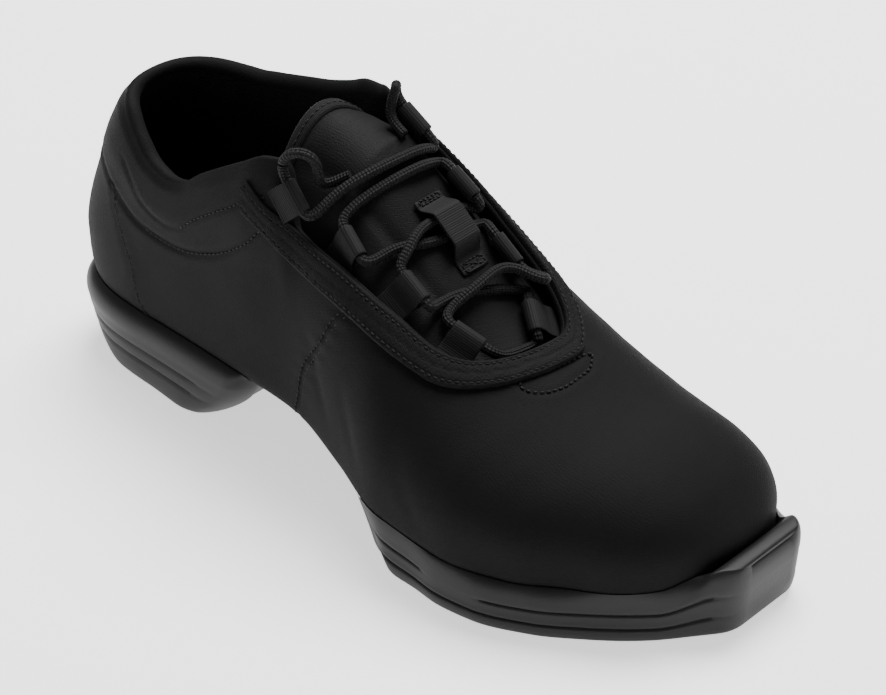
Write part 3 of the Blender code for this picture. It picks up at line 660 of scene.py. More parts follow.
@dataclass(frozen=True)
class Braid:
    """Round elastic in a braided sleeve: two families of yarn winding round it, one each way."""

    name: str = "braided_black_elastic"
    # tones of the painted shade between the yarns and the painted highlight on their crowns
    dark: tuple = (0.0042, 0.0042, 0.0044)
    light: tuple = (0.0170, 0.0170, 0.0174)
    yarn: float = 0.00105
    depth: float = 0.00022
    fibre_scale: float = 2400.0

    def make(self) -> bpy.types.Material:
        """Yarn height: the product of sines of the sum and of the difference of length and girth."""
        bench = Bench(self.name)
        length, girth = bench.cloth()
        ways = [bench.maths(sign, length, girth) for sign in ("ADD", "SUBTRACT")]
        woven = bench.maths("MULTIPLY", *(bench.wave(way, self.yarn) for way in ways))
        fibre = bench.noise(bench.place(), self.fibre_scale, 2)
        height = bench.maths("ADD", woven, bench.scaled(fibre, 0.4))
        # colour follows the yarns: painted shade where they dip, painted highlight where they cross on top
        colour = bench.tones(bench.spread(woven, 0.15, 0.85), self.dark, self.light)
        fixed = {"Sheen_Weight": 0.01, "Sheen_Roughness": 0.4, "Specular_IOR_Level": 0.14}
        return bench.dress(colour, 0.62, height, self.depth, **fixed)


@dataclass(frozen=True)
class Rubber:
    """Moulded charcoal rubber: satin, with a fine grain, faint mould marks and scuffs near the floor."""

    name: str = "charcoal_rubber_satin"
    dark: tuple = (0.0080, 0.0080, 0.0083)
    light: tuple = (0.0118, 0.0118, 0.0121)
    scuff: tuple = (0.022, 0.022, 0.022)
    roughness: float = 0.46
    depth: float = 0.00005
    grain_scale: float = 1400.0
    cloud_scale: float = 55.0
    scuff_stretch: tuple = (30.0, 30.0, 420.0)
    scuff_height: float = 0.003
    scuff_start: float = 0.52

    def make(self) -> bpy.types.Material:
        """Grain height: fine noise over a slow one; scuffs: streaky noise that fades out above 3 mm."""
        bench = Bench(self.name)
        place = bench.place()
        grain = bench.noise(place, self.grain_scale, 3)
        slow = bench.noise(place, self.cloud_scale, 5)
        streaks = bench.add("Mapping", {"Vector": place, "Scale": self.scuff_stretch}).outputs[0]
        rub = bench.noise(streaks, 6, 6)
        height = bench.add("SeparateXYZ", {0: place}).outputs[2]
        ramp = {"Value": height, "From Min": self.scuff_height, "From Max": 0.0, "To Max": 0.8}
        near = bench.add("MapRange", ramp).outputs[0]
        worn = bench.maths("MULTIPLY", near, bench.maths("GREATER_THAN", rub, self.scuff_start))
        base = bench.tones(slow, self.dark, self.light)
        mix = bench.add("Mix", {0: worn, 6: base}, data_type="RGBA")
        mix.inputs[7].default_value = (*self.scuff, 1.0)
        rough = bench.spread(slow, self.roughness - 0.07, self.roughness + 0.09)
        return bench.dress(mix.outputs[2], rough, grain, self.depth, Specular_IOR_Level=0.20)


@dataclass(frozen=True)
class Thread:
    """Twisted black polyester thread with a slight shine, and a painted highlight on each twist's crown."""

    name: str = "black_thread"
    # tones of the painted shade between the twists and the painted highlight on their crowns
    dark: tuple = (0.0050, 0.0050, 0.0052)
    light: tuple = (0.0170, 0.0170, 0.0174)
    twist: float = 0.0005
    depth: float = 0.00005

    def make(self) -> bpy.types.Material:
        """Twist height: slanted stripes from the sum of the length and girth coordinates."""
        bench = Bench(self.name)
        slant = bench.maths("ADD", *bench.cloth())
        twist = bench.maths("ABSOLUTE", bench.wave(slant, self.twist))
        # colour follows the twist: painted highlight on each crown, painted shade between them
        colour = bench.tones(twist, self.dark, self.light)
        return bench.dress(colour, 0.5, twist, self.depth, Sheen_Weight=0.01, Specular_IOR_Level=0.14)


@dataclass(frozen=True)
class Backdrop:
    """The plain pale floor."""

    name: str = "pale_floor"
    colour: tuple = (0.92, 0.92, 0.92)
    glow: float = 1.1

    def make(self) -> bpy.types.Material:
        """A matte pale surface with the faintest cloudiness."""
        bench = Bench(self.name)
        place = bench.place()
        colour = bench.tones(bench.noise(place, 3, 2), tuple(c * 0.995 for c in self.colour), self.colour)
        bench.shader.inputs["Emission Color"].default_value = (1.0, 1.0, 1.0, 1.0)
        fixed = {"Specular_IOR_Level": 0.1, "Emission_Strength": self.glow}
        return bench.dress(colour, 0.9, bench.noise(place, 200, 2), 0.00001, **fixed)


class Finishes:
    """Every material, made once."""

    def __init__(self) -> None:
        """Makes them all."""
        self.canvas = Canvas().make()
        self.facing = Canvas(
            name="facing_canvas",
            dark=(0.0038, 0.0038, 0.0039),
            light=(0.0100, 0.0100, 0.0102),
            pitch=0.0007,
            depth=0.00010,
        ).make()
        # the tongue's tones are lighter than the upper's canvas: painted light for its top, which faces up to
        # the overhead lamp
        self.tongue = Canvas(
            name="tongue_twill_painted_light",
            dark=(0.0050, 0.0050, 0.0052),
            light=(0.0085, 0.0085, 0.0087),
            pitch=0.0005,
            roughness=0.62,
        ).make()
        self.binding = Webbing(name="bias_binding", rib=0.0006, depth=0.00012).make()
        self.knit = Knit().make()
        self.foam = Knit(name="insole_cloth", wale=0.0011, course=0.0009, depth=0.0002).make()
        self.webbing = Webbing().make()
        self.braid = Braid().make()
        self.rubber = Rubber().make()
        self.thread = Thread().make()


@dataclass
class Studio:
    """Camera, floor and lights."""

    camera_place: tuple = (0.534044, -0.582893, 0.552)
    camera_target: tuple = (-0.002792, 0.022954, 0.029233)
    camera_roll: float = math.radians(0.12)
    lens: float = 126.0
    sensor: float = 36.0
    floor_size: float = 6.0
    world: float = 0.22
    aim: tuple = (0.0, 0.0, 0.04)
    # name, place, side of the square and power in watts
    lights: tuple = (
        ("overhead", (-0.20, 0.55, 1.4), 0.9, 52.0),
        ("toe_side", (1.2, 0.60, 0.80), 0.8, 0.8),
        ("heel_side", (-1.2, 0.15, 0.9), 0.8, 1.5),
        ("front_fill", (0.5, -1.2, 0.9), 1.0, 1.0),
    )

    def make_camera(self) -> None:
        """The photograph's viewpoint: a long lens, high on the shoe's outer front side."""
        place, target = Vector(self.camera_place), Vector(self.camera_target)
        ahead = (target - place).normalized()
        right = ahead.cross(Vector((0, 0, 1))).normalized()
        up = right.cross(ahead)
        c, s = math.cos(self.camera_roll), math.sin(self.camera_roll)
        x, y = right * c + up * s, up * c - right * s
        data = bpy.data.cameras.new("camera")
        data.lens, data.sensor_width = self.lens, self.sensor
        camera = bpy.data.objects.new("camera", data)
        rows = [(x[k], y[k], -ahead[k], place[k]) for k in range(3)]
        camera.matrix_world = Matrix(rows + [(0, 0, 0, 1)])
        bpy.context.scene.collection.objects.link(camera)
        bpy.context.scene.camera = camera

    def make_floor(self) -> None:
        """A wide pale floor, not part of the shoe."""
        half = self.floor_size / 2
        mesh = bpy.data.meshes.new("floor")
        square = [(-half, -half, 0), (half, -half, 0), (half, half, 0), (-half, half, 0)]
        mesh.from_pydata(square, [], [(0, 1, 2, 3)])
        mesh.materials.append(Backdrop().make())
        floor = bpy.data.objects.new("floor", mesh)
        bpy.context.scene.collection.objects.link(floor)

    def add_light(self, name: str, place: tuple, size: float, power: float) -> None:
        """A soft square light that looks at the shoe.

        Args:
            name: Its name.
            place: Where it hangs.
            size: Its side.
            power: Its power in watts.
        """
        data = bpy.data.lights.new(name, "AREA")
        data.shape, data.size, data.energy = "SQUARE", size, power
        light = bpy.data.objects.new(name, data)
        light.location = place
        light.rotation_mode = "QUATERNION"
        light.rotation_quaternion = (Vector(self.aim) - Vector(place)).to_track_quat("-Z", "Y")
        bpy.context.scene.collection.objects.link(light)

    def make_lights(self) -> None:
        """A strong light overhead, weak ones at toe, heel and lateral side, and a pale surround."""
        for name, place, size, power in self.lights:
            self.add_light(name, place, size, power)
        world = bpy.data.worlds.new("surround")
        world.use_nodes = True
        background = world.node_tree.nodes["Background"]
        background.inputs[0].default_value = (1.0, 1.0, 1.0, 1.0)
        background.inputs[1].default_value = self.world
        bpy.context.scene.world = world

    def build(self) -> None:
        """Makes the whole set."""
        self.make_camera()
        self.make_floor()
        self.make_lights()
        LOG.info("studio ready")


@dataclass(frozen=True)
class Tab:
    """A lace tab: its side, number, root along the throat, reach out to its eye and lean towards the toe."""

    side: Side
    number: int
    along: float
    reach: float
    lean: float

    @property
    def name(self) -> str:
        """The tab's name, which is its CAD node's too."""
        return f"tab_{self.side.name.lower()}_{self.number}"


TABS = (
    Tab(Side.LATERAL, 1, 0.418, 0.0075, 30),
    Tab(Side.LATERAL, 2, 0.492, 0.0095, 20),
    Tab(Side.LATERAL, 3, 0.580, 0.0100, 10),
    Tab(Side.LATERAL, 4, 0.664, 0.0090, 10),
    Tab(Side.MEDIAL, 1, 0.451, 0.0080, 0),
    Tab(Side.MEDIAL, 2, 0.533, 0.0075, 0),
    Tab(Side.MEDIAL, 3, 0.610, 0.0075, 0),
    Tab(Side.MEDIAL, 4, 0.697, 0.0100, 0),
)


class Step(Enum):
    """What a lace does at one place of its way."""

    OVER = "lies over the tongue"
    THROUGH = "passes a tab's eye"
    FROM = "starts in an eye"
    INTO = "ends in an eye"
    BESIDE = "passes beside a tab"


@dataclass
class Tongue:
    """The padded tongue with its bound round top, and the strip on it that the lace runs under."""

    thickness: float = 0.0042
    binding: float = 0.0007
    band: float = 0.0050
    reach: float = 0.0240
    skew: float = 0.24
    slope: float = 0.34
    arch: float = 34.0
    middle: float = -0.002
    turn: float = 0.470
    root: float = 0.738
    under: float = CANVAS_WALL + TAB_DEPTH + TAB_THICKNESS + 3 * CLEARANCE
    seam_share: float = 0.46
    swell: float = 0.0007
    trough: float = 0.0010
    drape: float = 0.0003
    flare: float = 0.24
    flare_power: float = 0.9
    crown_powers: tuple = (2.6, 2.1)
    stitch_inset: float = 0.0030
    edge_round: float = 0.0016
    side_round: float = 0.045
    band_groove: float = 0.0006
    stitched_share: float = 0.93
    across: int = 71
    held_rows: int = 70
    free_rows: int = 25
    keeper: tuple = (0.530, 0.612, -0.10)
    keeper_width: float = 0.0110
    keeper_thickness: float = 0.0011
    keeper_sag: float = 9.0
    keeper_rib: float = 0.0009
    keeper_boxes: tuple = ((0.012, 0.075), (0.865, 0.985))
    lace_play: float = 0.0004
    # along, lateral, medial: its side edges as shares of the half width
    edges: tuple = (
        (0.460, 0.930, 0.740),
        (0.525, 0.880, 0.660),
        (0.600, 0.790, 0.600),
        (0.680, 0.730, 0.520),
        (0.745, 0.600, 0.400),
    )

    def points(
        self, along: np.ndarray, share: np.ndarray, grow: np.ndarray = 0.0, flare: float = 0.0
    ) -> np.ndarray:
        """The outer face: share is -1 at the lateral edge and 1 at the medial one.

        Formula: the last's skin, sunk below the upper; beyond the turn it runs on straight, rising, grows
        wider by the flare and arches over the instep by the square of the distance from its middle.

        Args:
            along: Share of the upper's length.
            share: Place across the tongue.
            grow: Distance outwards.
            flare: How much wider the free top grows towards its end.

        Returns:
            The points.
        """
        along, share, grow = np.broadcast_arrays(*(np.asarray(v, float) for v in (along, share, grow)))
        held = np.maximum(along, self.turn)
        side = np.where(share < 0, -1.0, 1.0)
        edge = LAST.share_angle(both(self.edges, held, side))
        angle = HALF_PI - (HALF_PI - edge) * np.abs(share)
        points = LAST.skin(held, angle, side, grow - self.under)
        free = (held - along) * UPPER_LENGTH
        points[..., 0] -= free
        wider = 1 + flare * np.clip(free / self.reach, 0, 1) ** self.flare_power
        points[..., 1] = self.middle + (points[..., 1] - self.middle) * wider
        arch = self.arch * (points[..., 1] - self.middle) ** 2
        points[..., 2] += self.slope * free - arch * np.clip(free / self.reach, 0, 1)
        return points

    def free_reach(self, share: np.ndarray) -> np.ndarray:
        """How far the free top reaches beyond the turn, in metres: a flattened arc, skewed to one side."""
        power, root = self.crown_powers
        crown = np.maximum(1 - np.abs(share) ** power, 0.0) ** (1 / root)
        return self.reach * (0.50 + 0.50 * crown) * (1 - self.skew * share)

    def padding(self, along: np.ndarray, share: np.ndarray, inset: np.ndarray) -> np.ndarray:
        """Soft swell of the pad between its two long seams, a trough along each, and slow waves."""
        seam = 1 - bell(np.abs(share) - self.seam_share, 0.04)
        middle = step_up(1 - np.abs(share) / self.seam_share, 0, 0.5)
        swell = self.swell * middle * step_up(inset, 0.001, 0.006)
        trough = -self.trough * (1 - seam) * step_up(inset, 0.0005, 0.003)
        drape = self.drape * np.sin(along * 55 + share * 2.0) * step_up(inset, 0.002, 0.008)
        return swell + trough + drape

    def make_pad(self, finish: Finishes) -> None:
        """The pad and its binding as one closed form."""
        share = np.sin(np.linspace(-1, 1, self.across) * HALF_PI)
        reach = self.free_reach(share)
        size = (self.held_rows, self.across)
        held = np.linspace(self.root, self.turn, self.held_rows)
        inner_part = np.linspace(0, 1, self.free_rows + 1)[1:, None] * (reach - self.band)
        depth = np.array([0.03, 0.06, 0.12, 0.25, 0.5, 0.75, 0.88, 0.95, 1.0])[:, None]
        band_part = (reach - self.band) + self.band * depth
        free = np.concatenate([inner_part, band_part]) / UPPER_LENGTH
        at = np.concatenate([np.broadcast_to(held[:, None], size), self.turn - free])
        inset = np.concatenate([np.full(size, 0.02), reach - free * UPPER_LENGTH])
        on_band = step_up(-inset, -self.band * 0.99, -self.band * 0.93)
        rolled = np.sqrt(np.clip(1 - np.clip(1 - inset / self.edge_round, 0, 1) ** 2, 0, 1))
        at_sides = np.sqrt(np.clip(1 - np.clip(1 - (1 - np.abs(share)) / self.side_round, 0, 1) ** 2, 0, 1))
        rolled = rolled * at_sides[None]
        stitched = -0.0003 * bell(inset - self.stitch_inset, 0.0005)
        groove = -self.band_groove * bell(inset - self.band * 1.04, 0.0007)
        lift = (self.binding + stitched) * on_band + groove + self.padding(at, share, inset - self.band)
        half = self.thickness / 2
        outer = self.points(at, share, lift * rolled - half + half * rolled, self.flare)
        below = -half - half * rolled - self.binding * on_band * rolled
        inner = self.points(at, share, below, self.flare)
        band_row = self.held_rows + self.free_rows
        patches = []
        for grid in (outer, inner):
            patches.append(Patch(grid[: band_row + 1], 0))
            patches.append(Patch(grid[band_row:], 1))
        for line in (np.s_[0], np.s_[-1]):
            patches.append(Patch(np.stack([outer[line], inner[line]]), 0 if line == np.s_[0] else 1))
        for line in (0, -1):
            patches.append(Patch(np.stack([outer[:, line], inner[:, line]]), 0))
        materials = [finish.tongue, finish.binding]
        pad = make_piece("tongue_pad", patches, materials, ("tongue",), 60)
        row = self.turn - (reach - self.stitch_inset) / UPPER_LENGTH
        line = self.points(row, share, self.binding - 0.0001, self.flare)
        above = self.points(row, share, self.binding + 0.001, self.flare)
        keep = np.abs(share) < self.stitched_share
        Stitching("tongue_binding_stitches", finish).sew([(line[keep], unit(above - line)[keep])])

    def make_keeper(self, finish: Finishes) -> None:
        """The strip over the lace, a ribbed tape arched over it, and the stitched boxes at its two seats."""
        start, end, share = self.keeper
        t = np.concatenate([[0.0, 0.006, 0.02], np.linspace(0.04, 0.96, 84), [0.98, 0.994, 1.0]])
        along = start + (end - start) * t
        arch = step_up(t, 0.08, 0.27) * (1 - step_up(t, 0.64, 0.84))
        middle = self.points(along, share)
        run = unit(np.gradient(middle, axis=0))
        across = np.array([0.0, 1.0, 0.0])
        up = np.cross(run, across)
        up *= np.sign(up[:, 2])[:, None]
        place, high = tape_profile(self.keeper_width, self.keeper_thickness, 44, 8.0)
        ribs = 1 + 0.06 * np.sin(t * (end - start) * UPPER_LENGTH * FULL_TURN / self.keeper_rib)
        rim = np.clip(np.minimum(t, 1 - t) / 0.02, 0, 1) ** 0.5
        sag = self.keeper_sag * place**2 * (1 - arch)[:, None]
        rise = 2 * CLEARANCE + (LACE_DIAMETER + 3 * self.lace_play) * arch + self.keeper_thickness / 2
        height = rise[:, None] - sag + high * (ribs * (0.35 + 0.65 * rim))[:, None]
        grid = middle[:, None] + across * place[:, None] * (0.96 + 0.04 * rim)[:, None, None]
        grid = grid + up[:, None] * height[:, :, None]
        patches = [Patch(capped(grid))]
        make_piece("keeper_strip", patches, [finish.webbing], ("tongue_keeper",), 60)
        boxes = []
        half = self.keeper_width / 2 - 0.0012
        for low, high_end in self.keeper_boxes:
            corners = [(low, -half), (high_end, -half), (high_end, half), (low, half), (low, -half)]
            corners += [(high_end, half), (high_end, -half), (low, half)]
            flat = np.array([(p * (end - start) * UPPER_LENGTH, q) for p, q in corners])
            fine = even(np.concatenate([flat, np.zeros((len(flat), 1))], 1), 0.0004)
            at = fine[:, 0] / UPPER_LENGTH + start
            base = np.stack([np.interp(at, along, middle[:, k]) for k in range(3)], 1)
            normal = np.stack([np.interp(at, along, up[:, k]) for k in range(3)], 1)
            thick = 2 * CLEARANCE + self.keeper_thickness - self.keeper_sag * fine[:, 1] ** 2 - 0.00005
            boxes.append((base + across * fine[:, 1:2] + normal * thick[:, None], normal))
        Stitching("keeper_box_stitches", finish, pitch=0.0017, length=0.0014).sew(boxes)

    def build(self, finish: Finishes) -> None:
        """Makes the tongue and its strip."""
        self.make_pad(finish)
        self.make_keeper(finish)


@dataclass
class Stitching:
    """Rows of stitches sewn along lines, each a short arched length of thread that dips at its ends."""

    name: str
    finish: Finishes
    pitch: float = 0.0024
    length: float = 0.0019
    radius: float = 0.00026
    rise: float = 0.00018
    steps: int = 7

    def sew(self, rows: list) -> None:
        """Sews the rows as one piece.

        Formula: a stitch's ring at u from -1 to 1 along the seam is lifted by rise times 1 minus 2.2 u to
        the fourth, sunk at both ends, with its radius following the root of 1 minus u to the fourth.

        Args:
            rows: Pairs of a line's points and its outward directions, each shape (n, 3).
        """
        u = np.linspace(-1, 1, self.steps)
        turn = np.linspace(0, FULL_TURN, self.steps)
        cloth = np.stack(np.meshgrid(u * self.length / 2, turn * self.radius, indexing="ij"), -1)
        patches = []
        for line, normal in rows:
            fine = even(np.concatenate([line, normal], 1), self.pitch)
            place, out = fine[:, :3], unit(fine[:, 3:])
            middle = (place[1:] + place[:-1]) / 2
            out = unit(out[1:] + out[:-1])
            run = unit(place[1:] - place[:-1])
            side = np.cross(out, run)
            size = self.radius * np.maximum(1 - u**4, 0.0) ** 0.5
            lift = self.rise * (1 - 2.2 * u**4)
            spine = middle[:, None] + run[:, None] * (u * self.length / 2)[:, None]
            spine = spine + out[:, None] * lift[:, None]
            ring = side[:, None, None] * np.cos(turn)[:, None] + out[:, None, None] * np.sin(turn)[:, None]
            grid = spine[:, :, None] + ring * size[None, :, None, None]
            patches += [Patch(g, 0, None, cloth) for g in grid]
        make_piece(self.name, patches, [self.finish.thread], angle=80)


@dataclass
class Lacing:
    """The elastic lace and the webbing tabs that it runs through."""

    tongue: Tongue
    tab_width: float = 0.0105
    tab_root: float = 0.0021
    tab_rise: float = 0.0028
    lying: float = 0.44
    play: float = 0.0004
    stub: float = 0.0032
    sides: int = 14
    spacing: float = 0.0007
    easing: int = 14
    tape: float = 0.0008
    tape_rib: float = 0.0012
    tape_wave: float = 0.03
    tape_waist: float = 0.05
    eye_room: float = 1.06
    eye_taper: float = 3.4
    lying_tuck: float = -0.0004
    upright: tuple = (0.075, 0.125, 1.0)
    braid_pitch: float = 0.0021
    girth: float = 1.03
    relief: float = 0.03
    # cloth coordinates per real girth, so that a whole number of yarns closes round the lace
    girth_stretch: float = 1.114
    # side and number of a tab, then the way through it, to the toe (1) or to the heel (-1); or along, share
    # and height over the tongue; or side, number, run, across and out beside a tab in lace diameters
    loop: tuple = (
        (Step.THROUGH, 1, 2, -1),
        (Step.OVER, 0.511, 0.42, 0.3),
        (Step.OVER, 0.513, -0.03, 0.8),
        (Step.OVER, 0.493, -0.42, 0.1),
        (Step.THROUGH, -1, 2, 1),
        (Step.OVER, 0.545, -0.54, 0),
        (Step.OVER, 0.554, -0.43, 0),
        (Step.OVER, 0.571, -0.27, 0),
        (Step.OVER, 0.578, -0.05, 0),
        (Step.OVER, 0.579, 0.20, 0),
        (Step.OVER, 0.580, 0.46, 0),
        (Step.THROUGH, 1, 3, 1),
        (Step.OVER, 0.670, 0.45, 1.9),
        (Step.OVER, 0.665, 0.20, 1.8),
        (Step.OVER, 0.629, 0.00, 1.1),
        (Step.OVER, 0.634, -0.24, 1),
        (Step.OVER, 0.628, -0.42, 0),
        (Step.THROUGH, -1, 4, 1),
        (Step.OVER, 0.698, -0.36, 0),
        (Step.OVER, 0.706, -0.05, 0),
        (Step.THROUGH, 1, 4, -1),
        (Step.OVER, 0.662, 0.30, 0.0),
        (Step.OVER, 0.650, 0.05, 0),
        (Step.OVER, 0.624, -0.28, 0),
        (Step.OVER, 0.616, -0.53, 0.1),
        (Step.THROUGH, -1, 3, -1),
        (Step.OVER, 0.569, -0.47, 1),
        (Step.OVER, 0.560, -0.32, 1),
        (Step.OVER, 0.556, -0.16, 0),
        (Step.OVER, 0.557, 0.10, 0),
        (Step.OVER, 0.569, 0.42, 0.2),
    )
    bar: tuple = (
        (Step.FROM, -1, 1, 1),
        (Step.OVER, 0.470, -0.52, 0.6),
        (Step.OVER, 0.489, -0.27, 0.6),
        (Step.OVER, 0.498, 0.03, 0.6),
        (Step.OVER, 0.499, 0.30, 0.6),
        (Step.OVER, 0.499, 0.50, 0.6),
        (Step.INTO, 1, 1, -1),
    )
    end_lateral: tuple = (
        (Step.FROM, -1, 1, -1),
        (Step.BESIDE, -1, 1, -3.9, 0.9, 0.4),
        (Step.BESIDE, -1, 1, -3.8, 2.8, 0.8),
        (Step.BESIDE, -1, 1, -2.2, 4.2, 0.2),
        (Step.OVER, 0.440, -0.56, 0.6),
        (Step.OVER, 0.456, -0.47, 0),
        (Step.OVER, 0.466, -0.41, 0),
    )
    end_medial: tuple = (
        (Step.FROM, 1, 1, -1),
        (Step.BESIDE, 1, 1, -3.8, 1.0, 0.1),
        (Step.BESIDE, 1, 1, -3.7, 3.4, 0.1),
        (Step.OVER, 0.442, 0.10, 0.4),
        (Step.OVER, 0.460, 0.04, 0.2),
        (Step.OVER, 0.476, 0.02, 0.2),
    )

    def base(self, tab: Tab, at: float, turned: float = 0.0) -> np.ndarray:
        """A point of a tab's middle layer at the edge it comes from: under the edge, or on the facing."""
        side = tab.side.value
        if tab.along < self.lying:
            edge = LAST.throat_angle(at, side)
            lift = 8 * CLEARANCE + TAB_THICKNESS / 2
            return LAST.upper(at, edge + math.radians(2) + turned, side, lift)
        depth = CANVAS_WALL + CLEARANCE + TAB_DEPTH + TAB_THICKNESS / 2
        return LAST.skin(at, LAST.rim_angle(at, side) + turned, side, -depth)

    def frame(self, tab: Tab) -> tuple:
        """A tab's root and its directions along the eye, towards the eye and outwards."""
        root = self.base(tab, tab.along)
        run = unit(self.base(tab, tab.along + 0.012) - self.base(tab, tab.along - 0.012))
        across = self.base(tab, tab.along, math.radians(10)) - root
        across = unit(across - run * (across @ run))
        c, s = math.cos(math.radians(tab.lean)), math.sin(math.radians(tab.lean))
        run, across = run * c - across * s, across * c + run * s
        out = unit(np.cross(run, across) * -tab.side.value)
        out = -out if out[2] < 0 else out
        tilt = 0.0 if tab.along < self.lying else math.asin(self.tab_rise / tab.reach)
        c, s = math.cos(tilt), math.sin(tilt)
        return root, run, across * c + out * s, out * c - across * s

    def way(self, rows: tuple) -> np.ndarray:
        """Control points of a lace from its table.

        Args:
            rows: One row for each place it passes.

        Returns:
            The points, shape (n, 3).
        """
        low = LACE_DIAMETER / 2 + 2 * CLEARANCE
        found = []
        for step, *values in rows:
            if step is Step.OVER:
                along, share, high = values
                lift = low + high * (LACE_DIAMETER + 2 * CLEARANCE)
                found.append(self.tongue.points(along, share, lift))
                continue
            tab = next(t for t in TABS if (t.side.value, t.number) == tuple(values[:2]))
            root, run, across, out = self.frame(tab)
            eye = root + across * tab.reach
            if step is Step.BESIDE:
                found.append(eye + (run * values[2] + across * values[3] + out * values[4]) * LACE_DIAMETER)
                continue
            ahead = run * values[2]
            halves = [math.copysign(self.tab_width / 2, k) + k * self.stub for k in (-1, -0.2, 0.2, 1)]
            mouths = [eye + ahead * half for half in halves]
            start, stop = eye + ahead * self.play, eye - ahead * self.play
            found += {
                Step.FROM: [start] + mouths[2:],
                Step.INTO: mouths[:2] + [stop],
                Step.THROUGH: mouths,
            }[step]
        return np.array(found)

    def rounded(self, way: np.ndarray, closed: bool) -> np.ndarray:
        """Even points of the curve that touches the middle of each stretch and cuts the corners.

        Formula: quadratic pieces from the middle of one stretch to the middle of the next, bent by the
        corner.

        Args:
            way: Control points.
            closed: Whether the lace is endless.

        Returns:
            The points; for an endless lace the last one joins the first and is left out.
        """
        if closed:
            before, at, after = np.roll(way, 1, axis=0), way, np.roll(way, -1, axis=0)
        else:
            before, at, after = way[:-2], way[1:-1], way[2:]
        start, end = (before + at) / 2, (at + after) / 2
        t = np.linspace(0, 1, 16, endpoint=False)[None, :, None]
        fine = start[:, None] * (1 - t) ** 2 + 2 * at[:, None] * t * (1 - t) + end[:, None] * t * t
        fine = fine.reshape(-1, 3)
        if closed:
            return even(np.concatenate([fine, fine[:1]]), self.spacing)[:-1]
        return even(np.concatenate([way[:1], fine, end[-1:], way[-1:]]), self.spacing)

    def relaxed(self, path: np.ndarray, closed: bool, passes: int) -> np.ndarray:
        """The path with its bends eased, as elastic lies.

        Formula: each pass moves every point halfway to the middle of its two neighbours.

        Args:
            path: Its points, shape (n, 3).
            closed: Whether the lace is endless.
            passes: How many passes.

        Returns:
            The eased points.
        """
        soft = path.copy()
        for _ in range(passes):
            near = (np.roll(soft, 1, 0) + np.roll(soft, -1, 0)) / 2
            moved = (soft + near) / 2
            soft = moved if closed else np.concatenate([soft[:1], moved[1:-1], soft[-1:]])
        return soft if closed else even(soft, self.spacing)

    def tube(self, path: np.ndarray, closed: bool) -> Patch:
        """A round lace along a path, with a shallow braided relief.

        Formula: radius times 1 plus a small product of sines of the sum and difference of length and turn;
        every ring is squared to one upright direction, so that it doesn't twist from one to the next.

        Args:
            path: Its centreline.
            closed: Whether it is endless.

        Returns:
            The surface.
        """
        line, run = path, unit(np.gradient(path, axis=0))
        if closed:
            run = unit(np.roll(path, -1, 0) - np.roll(path, 1, 0))
            line, run = (np.concatenate([v, v[:1]]) for v in (path, run))
        side = unit(np.cross(self.upright, run))
        high = np.cross(run, side)
        turn = np.linspace(0, FULL_TURN, self.sides + 1)
        length = lengths(line)
        whole = max(round(length[-1] / self.braid_pitch), 1) * FULL_TURN
        wind = length / length[-1] * whole
        relief = np.sin(wind[:, None] + 3 * turn) * np.sin(wind[:, None] - 3 * turn)
        radius = LACE_DIAMETER / 2 * (self.girth + self.relief * relief)
        around = side[:, None] * np.cos(turn)[:, None] + high[:, None] * np.sin(turn)[:, None]
        grid = line[:, None] + around * radius[..., None]
        round_it = turn * LACE_DIAMETER / 2 * self.girth_stretch
        cloth = np.stack(np.broadcast_arrays(length[:, None], round_it), -1)
        if closed:
            return Patch(grid, 0, None, cloth)
        ends = np.concatenate([cloth[:1], cloth, cloth[-1:]])
        return Patch(capped(grid), 0, None, ends)

    def strand(self, name: str, rows: tuple, closed: bool, passes: int, finish: Finishes) -> tuple:
        """Makes one lace.

        Args:
            name: The piece's name; without its last word it is the CAD node's.
            rows: The table of its way.
            closed: Whether it is endless.
            passes: How many passes ease its bends.
            finish: The materials.

        Returns:
            The object and its centreline.
        """
        path = self.relaxed(self.rounded(self.way(rows), closed), closed, passes)
        node = name.rpartition("_")[0]
        tube = [self.tube(path, closed)]
        return make_piece(name, tube, [finish.braid], (node,), 80), path

    def make_ends(self, finish: Finishes) -> None:
        """The two lace ends, which leave the top tabs, turn back and tuck in beside the tongue."""
        for name, rows, passes in (
            ("lace_end_lateral_cord", self.end_lateral, self.easing),
            ("lace_end_medial_cord", self.end_medial, 3 * self.easing),
        ):
            made, path = self.strand(name, rows, False, passes, finish)

    def make_strands(self, finish: Finishes) -> None:
        """The endless part of the lace and the bar across the top tabs."""
        self.strand("lace_loop_strand", self.loop, True, self.easing, finish)
        self.strand("lace_bar_strand", self.bar, False, self.easing, finish)

